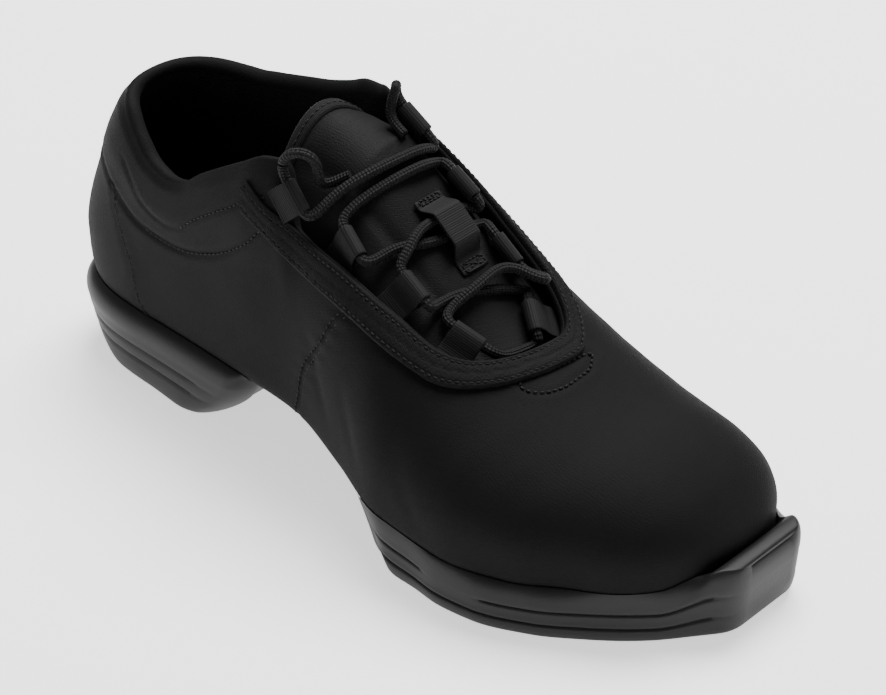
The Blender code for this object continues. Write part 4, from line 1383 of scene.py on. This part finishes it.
    def make_tab(self, tab: Tab, finish: Finishes) -> None:
        """One tab: a tape that comes from the edge, turns round the lace and goes back under itself.

        Formula: the tape's middle line is two layers that part in a smooth step up to the eye and join in
        half a circle round it; a flat profile with round edges is carried along it, its thickness waving
        with the ribs.

        Args:
            tab: The tab.
            finish: The materials.
        """
        root, run, across, out = self.frame(tab)
        ring = LACE_DIAMETER / 2 * self.eye_room + self.tape / 2
        tuck = self.lying_tuck if tab.along < self.lying else self.tab_root
        apart = self.tape / 2 + 0.00004
        u = np.linspace(-tuck, tab.reach, 60)
        v = apart + (ring - apart) * step_up(u, tab.reach - self.eye_taper * ring, tab.reach + 0.0004)
        turn = np.linspace(HALF_PI, -HALF_PI, 40)[1:-1]
        u = np.concatenate([u, tab.reach + ring * np.cos(turn), u[::-1]])
        v = np.concatenate([v, ring * np.sin(turn), -v[::-1]])
        line = even(np.stack([u, v, np.zeros_like(u)], 1), 0.0002)
        path = root + across * line[:, :1] + out * line[:, 1:2]
        length = lengths(path)
        place, high = tape_profile(self.tab_width, self.tape, 36, 9.0)
        ribs = 1 + self.tape_wave * np.sin(length * FULL_TURN / self.tape_rib)
        normal = np.cross(unit(np.gradient(path, axis=0)), run)
        waist = 1 - self.tape_waist * bell(length - length[-1] / 2, 0.004)
        grid = path[:, None] + run * (place * waist[:, None])[..., None]
        grid = grid + normal[:, None] * (high * ribs[:, None])[..., None]
        cloth_u = np.concatenate([[length[0]], length, [length[-1]]])
        cloth = np.stack(np.broadcast_arrays(cloth_u[:, None], place), -1)
        patch = Patch(capped(grid), 0, None, cloth)
        make_piece(tab.name + "_webbing", [patch], [finish.webbing], (tab.name,), 70)

    def build_cords(self, finish: Finishes) -> None:
        """Makes the laces."""
        self.make_ends(finish)
        self.make_strands(finish)

    def build_tabs(self, finish: Finishes) -> None:
        """Makes the tabs."""
        for tab in TABS:
            self.make_tab(tab, finish)


@dataclass(frozen=True)
class Seam:
    """A seam on the upper: its line, and how deep and how far around it draws the cloth in and puffs it."""

    name: str
    side: Side
    along: tuple
    angle: tuple
    depth: float = 0.00045
    width: float = 0.0011
    puff: float = 0.00018
    puff_width: float = 0.0035

    def line(self, lift: float = 0.0) -> np.ndarray:
        """Points of the seam on the upper, under a millimetre apart."""
        t = np.linspace(0, 1, 240)
        knots = np.linspace(0, 1, len(self.along))
        along, angle = smooth(t, knots, self.along), smooth(t, knots, self.angle)
        return LAST.upper(along, angle, self.side.value, lift)

    def sewn(self, lift: float, offset: float) -> tuple:
        """A row of stitches beside the seam, as its points and its outward directions.

        Args:
            lift: Its height over the upper.
            offset: Its distance from the seam, towards one side or the other.

        Returns:
            The points and the directions.
        """
        points = self.line(lift)
        out = unit(self.line(lift + 0.001) - points)
        return points + np.cross(out, unit(np.gradient(points, axis=0))) * offset, out


def at_height(rows: tuple) -> tuple:
    """A seam's places and angles from rows of place and height in millimetres.

    Args:
        rows: Pairs of the place along the shoe and the height.

    Returns:
        The places and the angles.
    """
    along = np.array([row[0] for row in rows])
    height = np.array([row[1] for row in rows]) / 1000
    return tuple(along), tuple(LAST.angle_at(along, height))


@dataclass
class Upper:
    """The canvas upper with its padded collar, its seams and the stitched band round its throat."""

    pad_in: float = 0.0034
    crown: float = 0.0022
    band_thickness: float = 0.0012
    band_lift: float = 0.0003
    band_tip: float = 0.744
    band_turn: float = 0.656
    band_top: tuple = (0.362, 0.425)
    # along, lateral, medial: the band's outer edge as shares of the half width
    band_edge: tuple = (
        (0.340, 0.915, 0.840),
        (0.375, 0.928, 0.820),
        (0.433, 0.923, 0.780),
        (0.477, 0.908, 0.740),
        (0.525, 0.875, 0.680),
        (0.573, 0.832, 0.620),
        (0.641, 0.749, 0.530),
        (0.690, 0.700, 0.460),
        (0.744, 0.660, 0.340),
    )
    band_rows: tuple = (0.17, 0.84)
    band_trough: float = 0.00028
    band_wave: float = 0.00012
    band_under: float = 0.0009
    # along, height in millimetres
    collar_seam: tuple = (
        (0.004, 77.0),
        (0.05, 73.0),
        (0.098, 67.5),
        (0.126, 63.6),
        (0.162, 60.3),
        (0.210, 59.3),
        (0.242, 60.1),
        (0.299, 64.9),
        (0.363, 75.4),
        (0.389, 82.1),
    )
    counter_seam: tuple = ((0.088, 69.0), (0.105, 60.5), (0.126, 51.0), (0.144, 39.0), (0.160, 26.6))
    # along, angle in degrees
    side_seam: tuple = ((0.545, 36), (0.524, 27), (0.505, 16), (0.467, 3), (0.455, -6), (0.449, -26))
    # the crescent's upper and lower line: along, then share of the half width, negative on the lateral side
    crescent_lines: tuple = (
        (
            (0.7330, 0.7300, 0.7335, 0.7400, 0.7445, 0.7465, 0.7500),
            (-0.385, -0.345, -0.29, -0.19, -0.04, 0.08, 0.15),
        ),
        (
            (0.7330, 0.7415, 0.7515, 0.7600, 0.7650, 0.7640, 0.7500),
            (-0.385, -0.375, -0.335, -0.27, -0.16, -0.03, 0.15),
        ),
    )
    # place along x and height of a crease's middle, its half length upwards and its depth
    creases: tuple = (
        (0.128, 0.046, 0.011, 0.0006),
        (0.148, 0.040, 0.009, 0.0005),
        (0.176, 0.032, 0.010, 0.00035),
    )
    pucker_pitch: float = 0.0052
    pucker_depth: float = 0.00013
    crescent_puff: float = 0.00035
    crescent_depth: float = 0.0006
    wave_height: float = 0.00008
    ripple_height: float = 0.00003
    crease_slant: float = 0.55
    crease_width: float = 0.0035
    twin_gap: float = 0.0011
    hidden_points: int = 110

    def seams(self) -> list:
        """The upper's seams: below the padded collar, at the heel counter, down the sides and at the edge."""
        found = []
        counter = at_height(self.counter_seam)
        side_along, side_angles = zip(*((a, math.radians(b)) for a, b in self.side_seam))
        for side in SIDES:
            raised = 0.0 if side is Side.LATERAL else 3.0
            collar = at_height(tuple((a, z + raised * a / 0.3) for a, z in self.collar_seam))
            found.append(Seam("collar", side, *collar, depth=0.0008, width=0.0014, puff=0.00025))
            found.append(Seam("counter", side, *counter, depth=0.0005, width=0.0010))
            found.append(Seam("side", side, side_along, side_angles))
            along = np.linspace(0.115, 0.392, 12)
            rim = LAST.rim_angle(along, side.value)
            under = tuple(rim - np.interp(along, [0.115, 0.17, 0.392], [0.13, 0.17, 0.16]))
            found.append(Seam("edge", side, tuple(along), under, depth=0.0004, width=0.0009, puff=0.0001))
        return found

    def crescent(self) -> list:
        """The crescent's two curved lines across the ridge, as points and outward directions.

        Formula: the place along and the share of the half width follow smooth curves through given points.
        """
        found = []
        for along, share in self.crescent_lines:
            t = np.linspace(0, 1, 120)
            knots = np.linspace(0, 1, len(along))
            at, across = smooth(t, knots, along), smooth(t, knots, share)
            place = (at, LAST.share_angle(np.abs(across)), np.where(across < 0, -1.0, 1.0))
            points = LAST.upper(*place)
            found.append((points, unit(LAST.upper(*place, 0.001) - points)))
        return found

    def relief(self, points: np.ndarray, angle: np.ndarray, side: int) -> np.ndarray:
        """How far the cloth stands out or is drawn in at each point.

        Formula: for every seam, a bell-shaped trough on the distance to its line with a low swell on both
        sides and puckers along the side seam, plus slow waves and a few slanted creases below the throat.

        Args:
            points: The flat surface, shape (m, n, 3).
            angle: Angle, shape (m, n).
            side: -1 or 1.

        Returns:
            Distances outwards, shape (m, n).
        """
        flat = points.reshape(-1, 3).astype(np.float32)
        total = np.zeros(len(flat))

        def away(line: np.ndarray) -> np.ndarray:
            """Distance from every point to a line's nearest point."""
            line = line.astype(np.float32)
            square = (flat**2).sum(1)[:, None] + (line**2).sum(1) - 2 * flat @ line.T
            return np.sqrt(np.maximum(square.min(1), 0))

        for seam in self.seams():
            if seam.side.value != side:
                continue
            gap = away(seam.line())
            total += seam.puff * bell(gap, seam.puff_width) - seam.depth * bell(gap, seam.width)
            if seam.name == "side":
                pucker = np.sin(points[..., 2].ravel() * FULL_TURN / self.pucker_pitch)
                total += self.pucker_depth * pucker * bell(gap, 0.0045)
        gap = np.minimum(*(away(line) for line, _ in self.crescent()))
        total += self.crescent_puff * bell(gap, 0.0025) - self.crescent_depth * bell(gap, 0.0008)
        x, z = points[..., 0].ravel(), points[..., 2].ravel()
        waves = self.wave_height * np.sin(x * 210 + z * 95) * np.sin(z * 160 - x * 60 + 1.0)
        waves += self.ripple_height * np.sin(x * 420 - z * 330)
        total += waves * step_up(angle.ravel(), -0.5, 0.2)
        for place, height, reach, deep in self.creases:
            slant = (x - place) + self.crease_slant * (z - height)
            total -= deep * bell(slant, self.crease_width) * bell(z - height, reach)
        return total.reshape(points.shape[:2])

    def shell(self, finish: Finishes) -> None:
        """The hollow canvas body and its jersey lining, one closed form.

        Formula: outside, the last's skin plus padding and relief; inside, the skin sunk by the wall and
        padding; the edge between them is half an ellipse that bulges towards the opening.
        """
        start, end = LAST.corner
        parts = [
            LAST.heel_round * starting(30),
            np.linspace(LAST.heel_round, start, 44, endpoint=False),
            np.linspace(start, end, 14, endpoint=False),
            np.linspace(end, LAST.throat_turn, 40, endpoint=False),
            LAST.throat_turn + (LAST.throat_tip - LAST.throat_turn) * slowing(20, False),
            np.linspace(LAST.throat_tip, LAST.toe_round, 30, endpoint=False),
            LAST.toe_round + (1 - LAST.toe_round) * slowing(30),
        ]
        along = np.concatenate(parts)
        patches = []
        for side in (-1, 1):
            rim = LAST.rim_angle(along, side)[:, None]
            low = np.broadcast_to(np.radians(np.linspace(-90, 0, 22, endpoint=False)), (len(along), 22))
            angle = np.concatenate([low, rim * np.linspace(0, 1, 56)], 1)
            at = np.broadcast_to(along[:, None], angle.shape)
            pad = LAST.padding(at, angle, side)
            t = angle / rim
            thinned = -0.5 * LAST.pad_out * pad * step_up(t, 0.88, 1.0)
            plain = LAST.upper(at, angle, side, thinned)
            outer = LAST.upper(at, angle, side, self.relief(plain, angle, side) + thinned)
            padding = self.pad_in * pad * (1 - 0.45 * step_up(t, 0.80, 1.0))
            inner = LAST.skin(at, angle, side, -CANVAS_WALL - padding)
            first, last = outer[:, -1], inner[:, -1]
            towards = unit(plain[:, -1] - plain[:, -4])
            turn = np.linspace(0, math.pi, 9)[1:-1]
            bulge = 0.9 * self.crown * pad[:, -1] + CANVAS_WALL * 0.3 * (1 - pad[:, -1])
            edge = (first + last)[:, None] / 2 + (first - last)[:, None] / 2 * np.cos(turn)[:, None]
            edge = edge + towards[:, None] * (bulge[:, None] * np.sin(turn))[..., None]
            open_top = along[:-1] < LAST.throat_tip - 1e-6
            keep = np.broadcast_to(open_top[:, None], (len(along) - 1, 8))
            patches.append(Patch(outer, 0))
            patches.append(Patch(np.concatenate([outer[:, -1:], edge, inner[:, -1:]], 1), 0, keep))
            patches.append(Patch(inner, 1))
        make_piece("upper_body", patches, [finish.canvas, finish.knit], ("upper",), 55)

    def band(self, finish: Finishes) -> None:
        """The band round the throat, with its two rows of stitches.

        Formula: between the throat's edge and the band's outer edge, lifted by its thickness times the root
        of one minus the distance from its middle to the tenth, with a shallow trough under each row and
        another between them.
        """
        turn = slowing(130)
        t = np.sin(np.linspace(-1, 1, 27) * HALF_PI) / 2 + 0.5
        strips = []
        rows = {row: [] for row in self.band_rows}
        for side, top in zip((-1, 1), self.band_top):
            inner_at = top + (LAST.throat_tip - top) * turn
            outer_at = top + (self.band_tip - top) * turn
            inner = LAST.throat_angle(inner_at, side)
            outer = LAST.gap_angle(outer_at, side, self.band_edge, self.band_turn, self.band_tip)

            def strip(across: np.ndarray, grow: np.ndarray) -> np.ndarray:
                """The band's surface at shares across it."""
                across = np.atleast_1d(across)
                at = inner_at[:, None] * (1 - across) + outer_at[:, None] * across
                angle = inner[:, None] * (1 - across) + outer[:, None] * across
                return LAST.upper(at, angle, side, CLEARANCE + self.band_lift + grow)

            rounding = np.maximum(1 - np.abs(2 * t - 1) ** 10, 0) ** 0.5
            sunk = sum(bell(t - row, 0.05) for row in rows) + 0.6 * bell(t - 0.5, 0.04)
            wave = np.sin(turn[:, None] * 260 + 3 * np.sin(t * 9)) * np.sin(turn[:, None] * 97 + t * 11)
            high = (self.band_thickness - self.band_trough * sunk + self.band_wave * wave) * rounding
            under = strip(t, -self.band_under * (1 + rounding[None] * 0.2))
            strips.append((strip(t, np.clip(high, 0.0, None)), under))
            for row, lines in rows.items():
                line = strip(row, self.band_thickness - 0.0002)[:, 0]
                above = strip(row, self.band_thickness + 0.001)[:, 0]
                lines.append((line, unit(above - line)))
        outer = np.concatenate([strips[0][0], strips[1][0][-2::-1]])
        inner = np.concatenate([strips[0][1], strips[1][1][-2::-1]])
        ends = [Patch(np.stack([outer[k], inner[k]])) for k in (0, -1)]
        sides = [Patch(np.stack([outer[:, k], inner[:, k]], 1)) for k in (0, -1)]
        patches = [Patch(outer), Patch(inner)] + ends + sides
        make_piece("throat_band", patches, [finish.facing], ("eyestay",), 60)
        joined = []
        for (line_a, out_a), (line_b, out_b) in rows.values():
            joined.append((np.concatenate([line_a, line_b[-2::-1]]), np.concatenate([out_a, out_b[-2::-1]])))
        Stitching("throat_band_stitches", finish, pitch=0.0021, length=0.0016, radius=0.00022).sew(joined)

    def sew_seams(self, finish: Finishes) -> None:
        """The stitches of the seams: double at the sides and the counter, single at the collar.

        The collar's rows start where they come out from behind the heel.
        """
        rows = []
        for seam in self.seams():
            twin = seam.name in ("side", "counter")
            for offset in (-self.twin_gap, self.twin_gap) if twin else (0.0,):
                line, out = seam.sewn(-0.0002, offset)
                shown = slice(0 if twin else self.hidden_points, None)
                rows.append((line[shown], out[shown]))
        Stitching("upper_seam_stitches", finish, pitch=0.0022, length=0.0017, radius=0.00022).sew(rows)
        lines = [(line + out * 0.00005, out) for line, out in self.crescent()]
        Stitching("crescent_stitches", finish, pitch=0.0021, length=0.0016, radius=0.00034).sew(lines)

    def build(self, finish: Finishes) -> None:
        """Makes the upper, its band and its stitching."""
        self.shell(finish)
        self.band(finish)
        self.sew_seams(finish)


@dataclass
class Insole:
    """The padded sheet on the upper's floor."""

    thickness: float = 0.0030
    heel: float = 0.012
    toe: float = 0.962
    edge_rise: float = 0.0003
    dish: float = 0.0009
    wave: float = 0.00015

    def build(self, finish: Finishes) -> None:
        """Makes it.

        Formula: its underside follows the last's skin, sunk by the wall; its top is a straight line across
        from edge to edge, dished in the middle and rounded off at its edges.
        """
        back, front = LAST.heel_round, LAST.toe_round
        parts = [
            self.heel + (back - self.heel) * starting(22),
            np.linspace(back, front, 70, endpoint=False),
            front + (self.toe - front) * slowing(22),
        ]
        along = np.concatenate(parts)
        inset = -CANVAS_WALL - CLEARANCE
        roof = LAST.seat(along) - inset + self.thickness
        depth = LAST.widest(along) - LAST.seat(along) + inset
        top = -np.arcsin(np.clip((LAST.widest(along) - roof) / depth, 0, 1) ** (LAST.base_power / 2))
        low = -HALF_PI + (top[:, None] + HALF_PI) * np.linspace(0, 1, 18)
        half = [LAST.skin(along[:, None], low, side, inset - CLEARANCE) for side in (-1, 1)]
        share = np.linspace(0, 1, 33)[:, None]
        left, right = half[0][:, -1][:, None], half[1][:, -1][:, None]
        over = left * (1 - share) + right * share
        edge = np.minimum(share[:, 0], 1 - share[:, 0])
        over[..., 2] += self.edge_rise * step_up(edge, 0.0, 0.06) - self.dish * step_up(edge, 0.05, 0.5)
        over[..., 2] += self.wave * np.sin(along * 60)[:, None] * step_up(edge, 0.0, 0.3)
        under = np.concatenate([half[0][:, ::-1], half[1][:, 1:]], 1)
        patches = [Patch(over), Patch(under)]
        patches += [Patch(np.stack([g, np.broadcast_to(g.mean(0), g.shape)])) for g in (under[0], under[-1])]
        for end, base in ((over[0], under[0]), (over[-1], under[-1])):
            patches.append(Patch(np.stack([end, np.broadcast_to(base.mean(0), end.shape)])))
        made = make_piece("insole_pad", patches, [finish.foam], ("insole",), 60)


@dataclass
class Soles:
    """The heel block and the forefoot's sole, moulded rubber that cups the upper."""

    rubber: float = 0.0024
    heel_wall: float = 0.0035
    forefoot_wall: float = 0.0050
    toe_wall: float = 0.0135
    toe_spring: float = 0.0016
    groove: float = 0.0007
    heel_front: float = 0.355
    heel_breast: float = 0.275
    heel_angle: float = -0.35
    heel_roll: float = 0.22
    heel_tuck: float = 0.0045
    heel_draft: float = 0.05
    front_draft: float = 0.22
    rake_power: float = 1.6
    forefoot_start: float = 0.585
    toe_start: float = 0.885
    forefoot_rake: float = 0.006
    levels: int = 56
    bottom_steps: int = 14
    shoulder: float = 0.0062
    climb: float = 0.0016
    corner: float = 0.0050
    rim: float = 0.0010
    heel_bend: float = 0.78
    forefoot_bend: float = 0.66
    heel_grooves: tuple = (0.36, 0.56)
    forefoot_grooves: tuple = (0.30, 0.62)
    # places from the heel in metres: where the toe block starts, is full and its lip starts to drop
    block_start: float = 0.2505
    block_full: float = 0.2562
    lip_start: float = 0.2555
    lip_drop: float = 0.0038
    # along as shares of the sole's length, lateral and medial as shares of the ball's width
    outline: tuple = (
        (0.585, -0.480, 0.370),
        (0.630, -0.525, 0.430),
        (0.676, -0.535, 0.478),
        (0.718, -0.550, 0.500),
        (0.763, -0.540, 0.505),
        (0.830, -0.470, 0.480),
        (0.885, -0.368, 0.440),
        (0.939, -0.250, 0.380),
        (0.975, -0.140, 0.320),
        (1.000, -0.055, 0.275),
    )
    # height as a share of the wall, outset in metres
    profile: tuple = (
        (0.00, -0.0016),
        (0.02, -0.0011),
        (0.07, -0.0006),
        (0.22, 0.0000),
        (0.38, 0.0002),
        (0.55, 0.0005),
        (0.71, 0.0008),
        (0.92, 0.0012),
        (0.97, 0.0011),
        (1.00, 0.0007),
    )

    def wall(
        self, line: np.ndarray, side: int, top: np.ndarray, bottom: np.ndarray, grooves: list
    ) -> np.ndarray:
        """A sole's side wall.

        Formula: at each station the wall leans out by its profile and dips at each groove by a bell of the
        height, deepest where that groove's strength is 1.

        Args:
            line: Its outline, shape (n, 2).
            side: -1 or 1.
            top: Heights of its upper edge.
            bottom: Heights of its lower edge.
            grooves: Pairs of a height share and the groove's strength at each station.

        Returns:
            Stations by levels of points.
        """
        height = self.heights()
        outset = np.broadcast_to(column(self.profile, 1, height), (len(line), len(height))).copy()
        for share, strength in grooves:
            outset -= self.groove * strength[:, None] * bell(height - share, 0.026)[None]
            outset += 0.15 * self.groove * strength[:, None] * bell(height - share - 0.09, 0.04)[None]
        flat = line[:, None] + outwards(line, side)[:, None] * outset[:, :, None]
        z = bottom[:, None] + (top - bottom)[:, None] * height
        return np.concatenate([flat, z[:, :, None]], 2)

    def turn_corner(self, line: np.ndarray, side: int) -> np.ndarray:
        """An outline whose last stretch turns round the toe's corner towards the axis.

        Formula: a quadratic curve from a point one corner's length before the end, bent by the end itself,
        to a point as far along the front.

        Args:
            line: The outline, shape (n, 2).
            side: -1 or 1.

        Returns:
            The rounded outline.
        """
        run = lengths(line)
        left = run[-1] - run
        q = np.clip(1 - left / self.corner, 0, 1)[:, None]
        first = np.array([np.interp(run[-1] - self.corner, run, line[:, k]) for k in (0, 1)])
        last = line[-1] - (0.0, side * self.corner)
        turned = first * (1 - q) ** 2 + 2 * q * (1 - q) * line[-1] + last * q * q
        return np.where(q > 0, turned, line)

    def heights(self) -> np.ndarray:
        """Levels of a wall, closer at its two edges."""
        t = np.linspace(0, 1, self.levels)
        return t - 0.40 * np.sin(FULL_TURN * t) / FULL_TURN

    def hug(self, wall: np.ndarray, contact: np.ndarray, start: float) -> np.ndarray:
        """A wall whose upper part bends in to the upper.

        Formula: from the start level up, the wall mixes with its contact point by the square of the height's
        share; the contact is at most a shoulder's width away.

        Args:
            wall: The wall's grid.
            contact: Where it would meet the upper, shape (n, 3).
            start: The level where it starts to bend, as a share of its height.

        Returns:
            The bent wall.
        """
        gap = contact - wall[:, -1]
        share = np.minimum(1, self.shoulder / np.maximum(np.linalg.norm(gap[:, :2], axis=1), 1e-6))
        target = wall[:, -1] + gap * share[:, None]
        bend = (np.clip((self.heights() - start) / (1 - start), 0, 1) ** 2)[:, None]
        return wall * (1 - bend) + target[:, None] * bend

    def close(
        self, name: str, walls: list, inners: list, node: str, finish: Finishes, blunt: bool = False
    ) -> None:
        """Closes two walls, the bottom, the cup and the ends into one piece.

        Formula: at each station an outer path runs from the middle of the bottom up the wall and an inner
        path from the middle of the cup to the wall's edge; an end is ruled between the two, or, where it is
        blunt, between the two walls by way of the middle between them.

        Args:
            name: The piece's name.
            walls: The two walls' grids.
            inners: The two inner paths' grids, from the middle outwards.
            node: The CAD node it replaces.
            finish: The materials.
            blunt: Whether the last station ends in a straight front that joins the two walls level by level.
        """
        middle = (walls[0][:, :1] + walls[1][:, :1]) / 2
        patches = []
        for wall, inner in zip(walls, inners):
            t = np.linspace(0, 1, self.bottom_steps, endpoint=False)[:, None]
            floor = middle * (1 - t) + wall[:, :1] * t
            outer = np.concatenate([floor, wall], 1)
            t = np.linspace(0, 1, 5)[1:, None]
            lip = wall[:, -1:] * (1 - t) + inner[:, -1:] * t
            inside = np.concatenate([inner, lip[:, ::-1][:, 1:], wall[:, -1:]], 1)
            patches += [Patch(outer), Patch(inside)]
            for end in (0, -1):
                run = lengths(inside[end])
                reach = lengths(outer[end])
                if reach[-1] < 1e-6 or (blunt and end == -1):
                    continue
                places = reach / reach[-1] * run[-1]
                across = np.stack([np.interp(places, run, inside[end][:, k]) for k in range(3)], 1)
                t = np.linspace(0, 1, 13)[:, None, None]
                patches.append(Patch(outer[end] * (1 - t) + across * t))
        if blunt:
            t = np.linspace(-1, 1, 2 * self.bottom_steps + 1)[:, None, None]
            left, right = walls[0][-1], walls[1][-1]
            ends = np.where(t < 0, left, right) * np.abs(t)
            patches.append(Patch((left + right) / 2 * (1 - np.abs(t)) + ends))
        make_piece(name, patches, [finish.rubber], (node,), 48)

    def cup(self, place: np.ndarray, side: int, top: np.ndarray, count: int = 20) -> np.ndarray:
        """The path of the cup under the upper, from the foot's middle out to the height of the wall's edge.

        Args:
            place: Share of the upper's length.
            side: -1 or 1.
            top: Heights where it ends.
            count: Number of points at each place.

        Returns:
            The grid, shape (n, count, 3).
        """
        reach = -LAST.angle_at(place, top)
        angle = -HALF_PI + (HALF_PI - reach)[:, None] * np.linspace(0, 1, count)
        return LAST.skin(place[:, None], angle, side, CLEARANCE)

    def make_heel(self, finish: Finishes) -> None:
        """The heel block: its wall follows the heel, its back edge rolls up and its front is raked."""
        round_part = LAST.heel_round * starting(34)
        side_part = LAST.heel_round + (self.heel_front - LAST.heel_round) * slowing(60)
        along = np.concatenate([round_part, side_part])
        top = LAST.seat(along) + self.heel_wall
        bottom = LAST.heel_seat * self.heel_roll * (1 - step_up(along, 0.0, 0.09))
        fade = step_up(along, 0.005, 0.06) * (1 - step_up(along, 0.26, 0.335))
        rake = step_up(along, 0.12, self.heel_front)
        raked = (self.heel_front - self.heel_breast) * UPPER_LENGTH * rake[:, None]
        height = self.heights()
        tuck = self.heel_tuck * (1 - step_up(along, 0.0, 0.20))[:, None] * (1 - height) ** 1.3
        fronted = np.clip((along - 0.26) / 0.095, 0, 1)[:, None] ** 3
        narrow = self.front_draft * (1 - height) * fronted
        bend = 1.6 * self.corner
        ahead = np.clip((along - self.heel_front) * UPPER_LENGTH / bend + 1, 0, 1)
        turned = bend * (1 - np.sqrt(1 - ahead**2))
        walls, inners = [], []
        for side in (-1, 1):
            line = LAST.skin(along, self.heel_angle, side)[:, :2]
            out = outwards(line, side)
            out[0] = (-1, 0)
            line = line + out * self.rubber
            line[0, 1] = 0
            wall = self.wall(line, side, top, bottom, [(row, fade) for row in self.heel_grooves])
            wall[:, :, 0] += tuck - raked * (1 - height) ** self.rake_power
            wall[:, :, 1] *= 1 - self.heel_draft * (1 - height) ** 1.5
            wall[:, :, 1] *= 1 - narrow
            wall[:, :, 1] -= side * turned[:, None]
            inner = self.cup(along, side, top + self.climb)
            walls.append(self.hug(wall, inner[:, -1], self.heel_bend))
            level = np.clip((inner[..., 2] - bottom[:, None]) / (top - bottom)[:, None], 0, 1)
            inner[..., 0] -= raked * (1 - level) ** self.rake_power
            inners.append(inner)
        self.close("heel_block", walls, inners, "heel_sole", finish)

    def make_forefoot(self, finish: Finishes) -> None:
        """The forefoot's sole with its square toe block."""
        start, front = self.forefoot_start, self.toe_start
        along = [np.linspace(start, front, 70, endpoint=False), front + (1 - front) * slowing(60)]
        along = np.concatenate(along)
        x = along * SOLE_LENGTH
        place = np.clip(x / UPPER_LENGTH, 0, 1)
        top = LAST.seat(place) + self.forefoot_wall
        top = top + (self.toe_wall - self.forefoot_wall) * step_up(along, 0.942, 0.997)
        bottom = self.toe_spring * (step_up(along, 0.88, 1.0) + step_up(-along, -0.65, -start))
        lip = np.clip((x - self.lip_start) / (SOLE_LENGTH - self.lip_start), 0, 1)
        top = top - self.lip_drop * lip**1.6
        ends = step_up(along, 0.592, 0.625) * (1 - step_up(along, 0.978, 0.997))
        gap = 1 - step_up(along, 0.685, 0.705) * (1 - step_up(along, 0.765, 0.785))
        grooves = list(zip(self.forefoot_grooves, (ends, ends * gap)))
        height = self.heights()
        drawn = self.rim * np.clip((height - 0.80) / 0.20, 0, 1) ** 2
        walls, inners = [], []
        for k, side in enumerate((-1, 1), 1):
            line = np.stack([x, BALL_WIDTH * column(self.outline, k, along)], 1)
            line = self.turn_corner(line, side)
            wall = self.wall(line, side, top, bottom, grooves)
            left = lengths(line)[-1] - lengths(line)
            wall[:, :, 0] -= np.clip(1 - left / self.corner, 0, 1)[:, None] * drawn
            wall[:, :, 0] += self.forefoot_rake * (1 - height) * (1 - step_up(along, start, 0.66))[:, None]
            walls.append(wall)
            inners.append(self.cup(place, side, top + self.climb))
        flat_part = step_up(x, self.block_start, self.block_full)[:, None, None]
        middle = (walls[0][:, -1] + walls[1][:, -1])[:, None] / 2
        for k in (0, 1):
            t = np.linspace(0, 0.86, inners[k].shape[1])[:, None]
            level = middle * (1 - t) + walls[k][:, -1][:, None] * t
            inners[k] = inners[k] * (1 - flat_part) + level * flat_part
            walls[k] = self.hug(walls[k], inners[k][:, -1], self.forefoot_bend)
        self.close("forefoot_tread", walls, inners, "forefoot_sole", finish, True)

    def build(self, finish: Finishes) -> None:
        """Makes both soles."""
        self.make_heel(finish)
        self.make_forefoot(finish)


def corners(box: tuple) -> list:
    """A box's two corners as plain lists."""
    return [list(corner) for corner in box]


def main() -> None:
    """Builds the looks round the frame."""
    logging.basicConfig(level=logging.INFO, format="%(message)s")
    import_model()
    Studio().build()
    finish = Finishes()
    tongue = Tongue()
    lacing = Lacing(tongue)
    lacing.build_cords(finish)
    lacing.build_tabs(finish)
    tongue.build(finish)
    Upper().build(finish)
    Insole().build(finish)
    Soles().build(finish)


if __name__ == "__main__":
    main()
